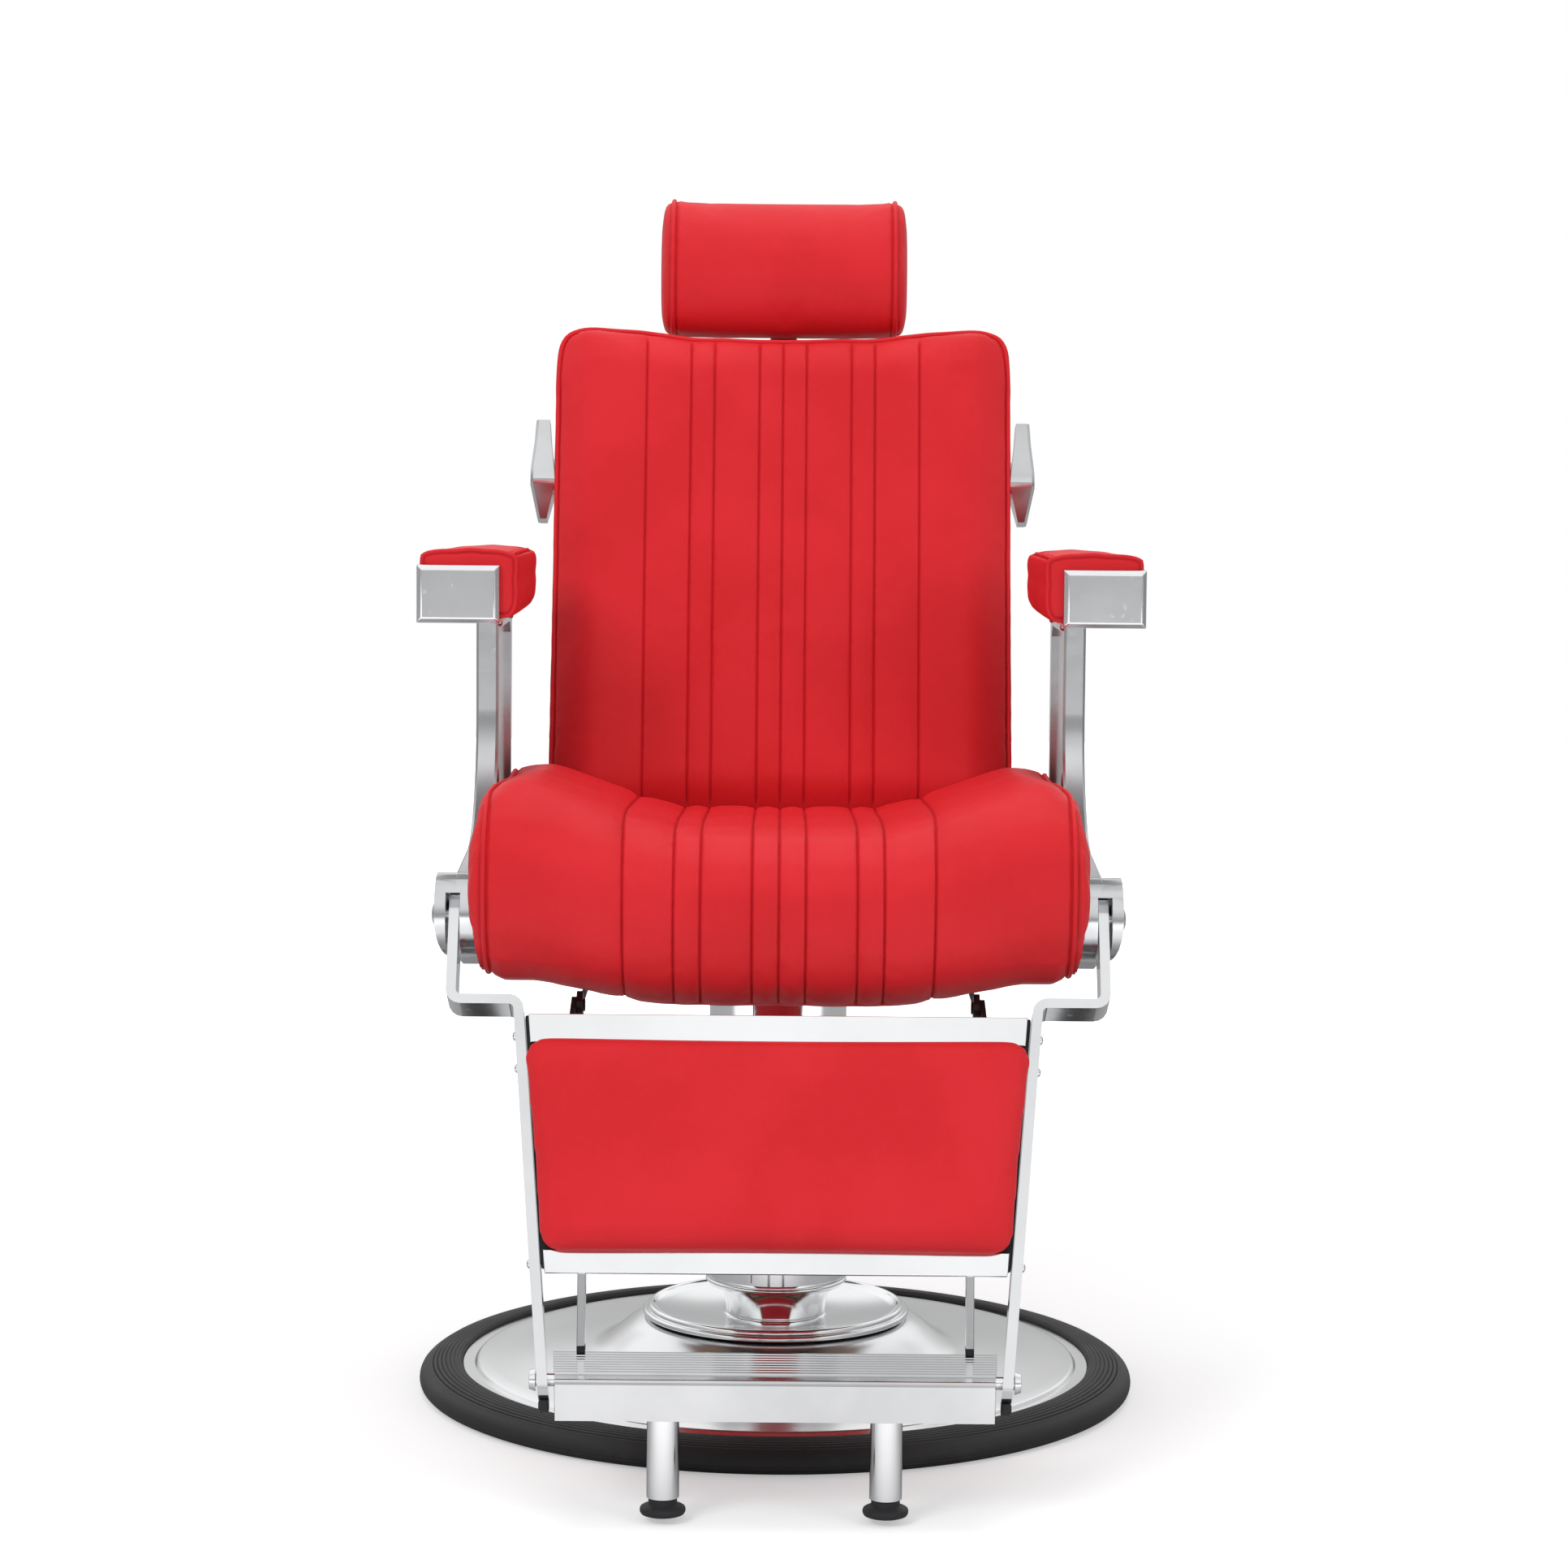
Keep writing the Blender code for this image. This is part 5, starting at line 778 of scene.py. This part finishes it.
foot = 0.0703
collar = {"neck": 0.0545, "neckTop": foot + 0.060, "mouth": 0.0603, "waist": 0.0503, "top": foot + 0.0368,
          "low": foot + 0.0034, "dishStart": 0.0530, "dishEnd": 0.1195, "discTop": foot + 0.0125}
rise = collar["top"] - 0.001 - collar["low"]
profile = [(cover["bore"], collar["neckTop"]), (collar["neck"], collar["neckTop"]),
           (collar["neck"], collar["top"] + 0.002), (collar["mouth"] - 0.0012, collar["top"])]
for i in range(13):  # flared up into the shroud
    share = 1 - i / 12
    profile.append((collar["waist"] + (collar["mouth"] - collar["waist"]) * share ** 2.2,
                    collar["low"] + rise * share))
profile += [(0.0506, collar["low"] - 0.0006), (0.0514, collar["low"] - 0.0010)]
dishRise = collar["discTop"] - 0.004 - collar["low"] + 0.0011
for i in range(13):  # the dish rises from the neck to the rim
    share = i / 12
    profile.append((collar["dishStart"] + (collar["dishEnd"] - collar["dishStart"]) * share,
                    collar["low"] - 0.0011 + dishRise * share ** 1.6))
profile += bead(0.1262, collar["discTop"] - 0.0034, 0.0034, 150, -20, 10)
profile += [(0.1302, collar["discTop"] - 0.0052)]
profile += bead(0.1318, collar["discTop"] - 0.0078, 0.0029, 90, -80)
profile += [(0.1290, foot + 0.0008), (0.0950, foot), (cover["bore"], foot)]
lathed("columnCollar", profile, "base", "chrome", ("column_collar",))

shroud = {"radius": 0.0690, "inside": 0.0660, "bottom": 0.104, "top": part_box("column_shroud")[1][2]}
profile = [(shroud["inside"], shroud["top"]), (shroud["radius"], shroud["top"]),
           (shroud["radius"], shroud["bottom"] + 0.0092),
           (shroud["radius"] + 0.0007, shroud["bottom"] + 0.0080)]
profile += bead(shroud["radius"] + 0.0003, shroud["bottom"] + 0.0042, 0.0021, 75, -75)
profile += [(shroud["radius"], shroud["bottom"]), (shroud["inside"], shroud["bottom"])]
lathed("columnShroud", profile, "seat", "chrome", ("column_shroud",))

for side in ("l", "r"):
    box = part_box(f"footrest_leg_{side}")
    x, y = (box[0][0] + box[1][0]) / 2, (box[0][1] + box[1][1]) / 2
    radius, low, high = (box[1][0] - box[0][0]) / 2, box[0][2], box[1][2]
    profile = [(0.0, high), (radius - 0.0004, high), (radius, high - 0.0004), (radius, low + 0.0006),
               (radius - 0.0006, low), (0.0, low)]
    lathed("footTube" + side.upper(), profile, "footrest", "chrome", (f"footrest_leg_{side}",), (x, y), 64)
    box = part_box(f"footrest_foot_{side}")
    radius, low, high = (box[1][0] - box[0][0]) / 2, box[0][2], box[1][2]
    profile = [(0.0, high), (0.0120, high), (0.0128, high - 0.0006), (0.0128, high - 0.0052),
               (0.0142, high - 0.0064), (radius - 0.0022, high - 0.0074), (radius - 0.0006, high - 0.0084),
               (radius, high - 0.0100), (radius - 0.0002, low + 0.0024), (radius - 0.0012, low + 0.0007),
               (radius - 0.0030, low), (0.0, low)]
    lathed("footPad" + side.upper(), profile, "footrest", "rubber", (f"footrest_foot_{side}",), (x, y), 64)
print("base and feet done")


def softened(name, node, body, finish, width):  # a CAD part with its edges broken
    piece = pieceFrom(fromNode(node), name, body, finish, 35.0, (node,))
    rounding = piece.modifiers.new("edges", "BEVEL")
    rounding.width = width
    rounding.segments = 2
    rounding.limit_method = "ANGLE"
    rounding.angle_limit = math.radians(24.0)
    even = piece.modifiers.new("evenShading", "WEIGHTED_NORMAL")
    even.keep_sharp = True


# node: piece, body, finish, width of the broken edge; a node that ends in _ stands for left and right
edgeLooks = {
    "side_bar_": ("legBar", "legrest", "bars", 0.0020), "top_strip": ("topStrip", "legrest", "chrome", 0.0007),
    "bottom_strip": ("bottomStrip", "legrest", "chrome", 0.0007),
    "footrest_tread": ("footrestTread", "footrest", "tread", 0.0005),
    "arm_frame_": ("armFrame", "seat", "casting", 0.0012), "arm_tray_": ("armTray", "seat", "tray", 0.0010),
    "back_handle_": ("backHandle", "back", "casting", 0.0012), "strut_": ("strut", "legrest", "chrome", 0.0008),
    "headrest_bar": ("headrestBar", "headrest", "chrome", 0.0008),
    "headrest_socket": ("headrestSocket", "back", "chrome", 0.0012),
    "footrest_shaft": ("footrestShaft", "legrest", "chrome", 0.0010),
    "pedal_arm": ("pedalArm", "pedal", "chrome", 0.0015),
    "recline_lever": ("reclineLever", "release", "chrome", 0.0008),
    "back_bracket_": ("backBracket", "back", "paint", 0.0010),
    "lock_cylinder": ("lockCylinder", "seat", "paint", 0.0006),
    "seat_frame": ("seatFrame", "seat", "paint", 0.0010),
    "pedal_bracket": ("pedalBracket", "base", "paint", 0.0010),
    "pedal_pad": ("pedalPad", "pedal", "rubber", 0.0015),
    "recline_grip": ("reclineGrip", "release", "rubber", 0.0015),
    "bar_bumper_": ("barBumper", "legrest", "rubber", 0.0008),
    "legrest_board": ("legrestBoard", "legrest", "vinylBack", 0.0015),
}
for node, (name, body, finish, width) in edgeLooks.items():
    for mark in (("L", "R") if node.endswith("_") else ("",)):
        softened(name + mark, node + mark.lower(), body, finish, width)
board = bpy.data.objects["legrestBoard"].data
board.materials.append(materials["edging"])
for polygon in board.polygons:  # black edges, and the pad's vinyl on the back
    polygon.material_index = 0 if polygon.normal.y > 0.5 else 1
print("metal parts finished")


# small fasteners
def domedHead(name, place, along, body, finish, radius, height, replaced=(), stem=None):
    profile = [(0.0, height)]
    for i in range(1, 9):
        angle = math.pi / 2 * i / 8
        profile.append((radius * math.sin(angle), height * (0.25 + 0.75 * math.cos(angle))))
    profile.append((radius, -0.0003))
    profile += [(stem[0], -0.0003), (stem[0], -stem[1]), (0.0, -stem[1])] if stem else [(0.0, -0.0003)]
    bm = bmesh.new()
    points = [bm.verts.new((r, 0, z)) for r, z in profile]
    edges = [bm.edges.new(pair) for pair in zip(points, points[1:])]
    bmesh.ops.spin(bm, geom=points + edges, cent=(0, 0, 0), axis=(0, 0, 1), angle=math.tau, steps=24,
                   use_merge=True)
    bmesh.ops.remove_doubles(bm, verts=bm.verts, dist=0.00001)
    bmesh.ops.recalc_face_normals(bm, faces=bm.faces)
    turn = Vector(along).to_track_quat("Z", "Y").to_matrix().to_4x4()
    bmesh.ops.transform(bm, matrix=Matrix.Translation(place) @ turn, verts=bm.verts)
    return pieceFrom(bm, name, body, finish, 40.0, replaced)


boltLooks = {"radius": 0.0042, "height": 0.0032, "drops": (0.1215, 0.1530, 0.3400)}
pinLooks = {"radius": 0.0112, "cap": 0.0050, "stem": 0.0070}
legPivot = Vector((0.0, -0.240, pivotHeight))
for side, mark in ((-1, "L"), (1, "R")):
    tree = surfaceOf(nodes["side_bar_" + mark.lower()])
    for i, drop in enumerate(boltLooks["drops"]):
        at = legPivot - legUp * drop
        hit, normal = tree.ray_cast(at + Vector((side * 0.5, 0, 0)), Vector((-side, 0, 0)))[:2]
        if hit:
            domedHead(f"barBolt{mark}{i + 1}", hit, normal, "legrest", "chrome", boltLooks["radius"],
                      boltLooks["height"])
    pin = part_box("pivot_pin_" + mark.lower())
    outer = pin[1][0] if side > 0 else pin[0][0]
    length = pin[1][0] - pin[0][0] - pinLooks["cap"]
    place = Vector((outer - side * pinLooks["cap"], legPivot.y, legPivot.z))
    domedHead(f"pivotPin{mark}", place, (side, 0, 0), "seat", "casting", pinLooks["radius"], pinLooks["cap"],
              ("pivot_pin_" + mark.lower(),), (pinLooks["stem"], length))

trayBolt = {"radius": 0.0042, "height": 0.0030, "places": (0.024, 0.182), "drop": 0.0075}
for side, mark in ((-1, "L"), (1, "R")):
    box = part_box("arm_frame_" + mark.lower())
    face = box[1][0] if side < 0 else box[0][0]
    for i, y in enumerate(trayBolt["places"]):  # hold the tray to the frame
        place = Vector((face, y, box[1][2] - trayBolt["drop"]))
        domedHead(f"trayBolt{mark}{i + 1}", place, (-side, 0, 0), "seat", "steel", trayBolt["radius"],
                  trayBolt["height"])

seamLooks = {"x": -0.0245, "width": 0.0009, "depth": 0.0006, "short": 0.016, "raised": 0.004}
y = -math.sqrt(shroud["radius"] ** 2 - seamLooks["x"] ** 2)  # the welded seam down the front of the shroud
turn = Matrix.Rotation(math.atan2(-seamLooks["x"], -y), 3, "Z")
height = shroud["top"] - shroud["bottom"] - seamLooks["short"]
middle = (shroud["top"] + shroud["bottom"]) / 2 + seamLooks["raised"]
bm = bmesh.new()
bmesh.ops.create_cube(bm, size=1.0)
bmesh.ops.scale(bm, vec=(seamLooks["width"], seamLooks["depth"], height), verts=bm.verts)
bmesh.ops.bevel(bm, geom=bm.edges[:], offset=0.0001, segments=1, profile=0.5, affect="EDGES", material=-1)
bmesh.ops.rotate(bm, cent=(0, 0, 0), matrix=turn, verts=bm.verts)
bmesh.ops.translate(bm, vec=(seamLooks["x"], y, middle), verts=bm.verts)
pieceFrom(bm, "shroudSeam", "seat", "paint", 0)
print("fasteners done")

# stage: pale floor that runs up into a white background, soft studio lamps
stageSettings = {"floor": 16.0, "pale": (0.80, 0.80, 0.81), "lift": 0.40, "nearWhite": 0.9, "farWhite": 2.6,
                 "sky": 0.60, "mirrorLow": 0.40, "mirrorHigh": 1.08, "behind": 0.42, "sideDark": 0.55,
                 "floorDim": 0.50}


def whiteBehind(name):  # the camera and the mirrors see it lifted to white, and it keeps the chair's shadow
    made = Shader(name, stageSettings["pale"], 0.9, Specular_IOR_Level=0.0, Emission_Strength=1.0)
    rays = made.tree.nodes.new("ShaderNodeLightPath")
    card = (1 - made.split(made.place)[1]).steps(1.35, 1.9, 0.1, 1.0)  # mirrors see it bright in front only
    seen = Wire(made, rays.outputs["Is Glossy Ray"]) * card + Wire(made, rays.outputs["Is Camera Ray"])
    away = made.node("ShaderNodeVectorMath", {"operation": "LENGTH"}, (made.place,), "Value")
    lift = away.steps(stageSettings["nearWhite"], stageSettings["farWhite"], stageSettings["lift"], 1.0)
    grain = made.noise(1.2, 2)
    pale = stageSettings["pale"]
    white = made.mix(grain.steps(0.3, 0.7), pale, tuple(0.985 * part for part in pale))
    dim = (1 - card) * Wire(made, rays.outputs["Is Glossy Ray"]) * stageSettings["floorDim"]
    made.set(**{"Base Color": made.mix(dim.clamped(), white, (0, 0, 0)),
                "Emission Color": made.mix((lift * seen).clamped(), (0, 0, 0), (1, 1, 1))})
    return made.material


bm = bmesh.new()
bmesh.ops.create_grid(bm, x_segments=1, y_segments=1, size=stageSettings["floor"] / 2)
floorMesh = bpy.data.meshes.new("floor")
bm.to_mesh(floorMesh)
bm.free()
floor = bpy.data.objects.new("floor", floorMesh)
floor.location.z = -0.0005
bpy.context.scene.collection.objects.link(floor)
floorMesh.materials.append(whiteBehind("paleFloor"))

world = bpy.data.worlds.new("studio")
bpy.context.scene.world = world
world.use_nodes = True
tree = world.node_tree


def worldNode(kind, settings, values):
    made = tree.nodes.new(kind)
    for key, value in settings.items():
        setattr(made, key, value)
    for key, value in values.items():
        if isinstance(value, bpy.types.NodeSocket):
            tree.links.new(value, made.inputs[key])
        else:
            made.inputs[key].default_value = value
    return made.outputs[0]


def worldMath(operation, *values):
    return worldNode("ShaderNodeMath", {"operation": operation}, dict(enumerate(values)))


def worldRange(value, low, high, start, end):
    return worldNode("ShaderNodeMapRange", {"interpolation_type": "SMOOTHSTEP"},
                     {"Value": value, "From Min": low, "From Max": high, "To Min": start, "To Max": end})


rays = tree.nodes.new("ShaderNodeLightPath").outputs
direction = tree.nodes.new("ShaderNodeTexCoord").outputs["Generated"]
parts = tree.nodes.new("ShaderNodeSeparateXYZ")
tree.links.new(direction, parts.inputs[0])
clouds = worldNode("ShaderNodeTexNoise", {}, {"Vector": direction, "Scale": 2.2, "Detail": 1.0})
front = worldRange(parts.outputs["Y"], -1.0, -0.25, 0.0, stageSettings["behind"])  # dark behind the camera
height = worldRange(parts.outputs["Z"], 0.02, 0.45, 0.0, 1.0)
shaded = worldMath("MULTIPLY", worldMath("MAXIMUM", front, height), worldRange(clouds, 0.36, 0.56, 0.5, 1.0))
across = worldMath("ABSOLUTE", parts.outputs["X"])
flags = worldRange(across, 0.60, 0.95, 1.0, stageSettings["sideDark"])  # dark sides draw the edges
lit = worldRange(shaded, 0.0, 1.0, stageSettings["mirrorLow"], stageSettings["mirrorHigh"])
glossy = worldNode("ShaderNodeMix", {"data_type": "FLOAT"},
                   {0: rays["Is Glossy Ray"], 2: stageSettings["sky"], 3: worldMath("MULTIPLY", lit, flags)})
strength = worldMath("MAXIMUM", glossy, rays["Is Camera Ray"])
background = tree.nodes["Background"]
background.inputs["Color"].default_value = (1, 1, 1, 1)
tree.links.new(strength, background.inputs["Strength"])

lamps = {  # place, aimed at, width, height, power
    "keyLamp": ((-2.0, -3.0, 2.7), (0, 0, 0.6), 1.4, 1.4, 47),
    "fillLamp": ((2.6, -2.2, 1.6), (0, 0, 0.6), 1.6, 1.4, 16),
    "topLamp": ((0.0, 0.2, 3.4), (0, 0, 0.5), 1.8, 1.8, 28),
}
for name, (place, aim, width, height, power) in lamps.items():
    lamp = bpy.data.lights.new(name, "AREA")
    lamp.shape = "RECTANGLE"
    lamp.size, lamp.size_y, lamp.energy = width, height, power
    holder = bpy.data.objects.new(name, lamp)
    holder.location = place
    holder.visible_glossy = False  # the mirrors show the white studio, not the lamps
    holder.rotation_euler = (Vector(aim) - Vector(place)).to_track_quat("-Z", "Y").to_euler()
    bpy.context.scene.collection.objects.link(holder)
print("stage and lamps set")
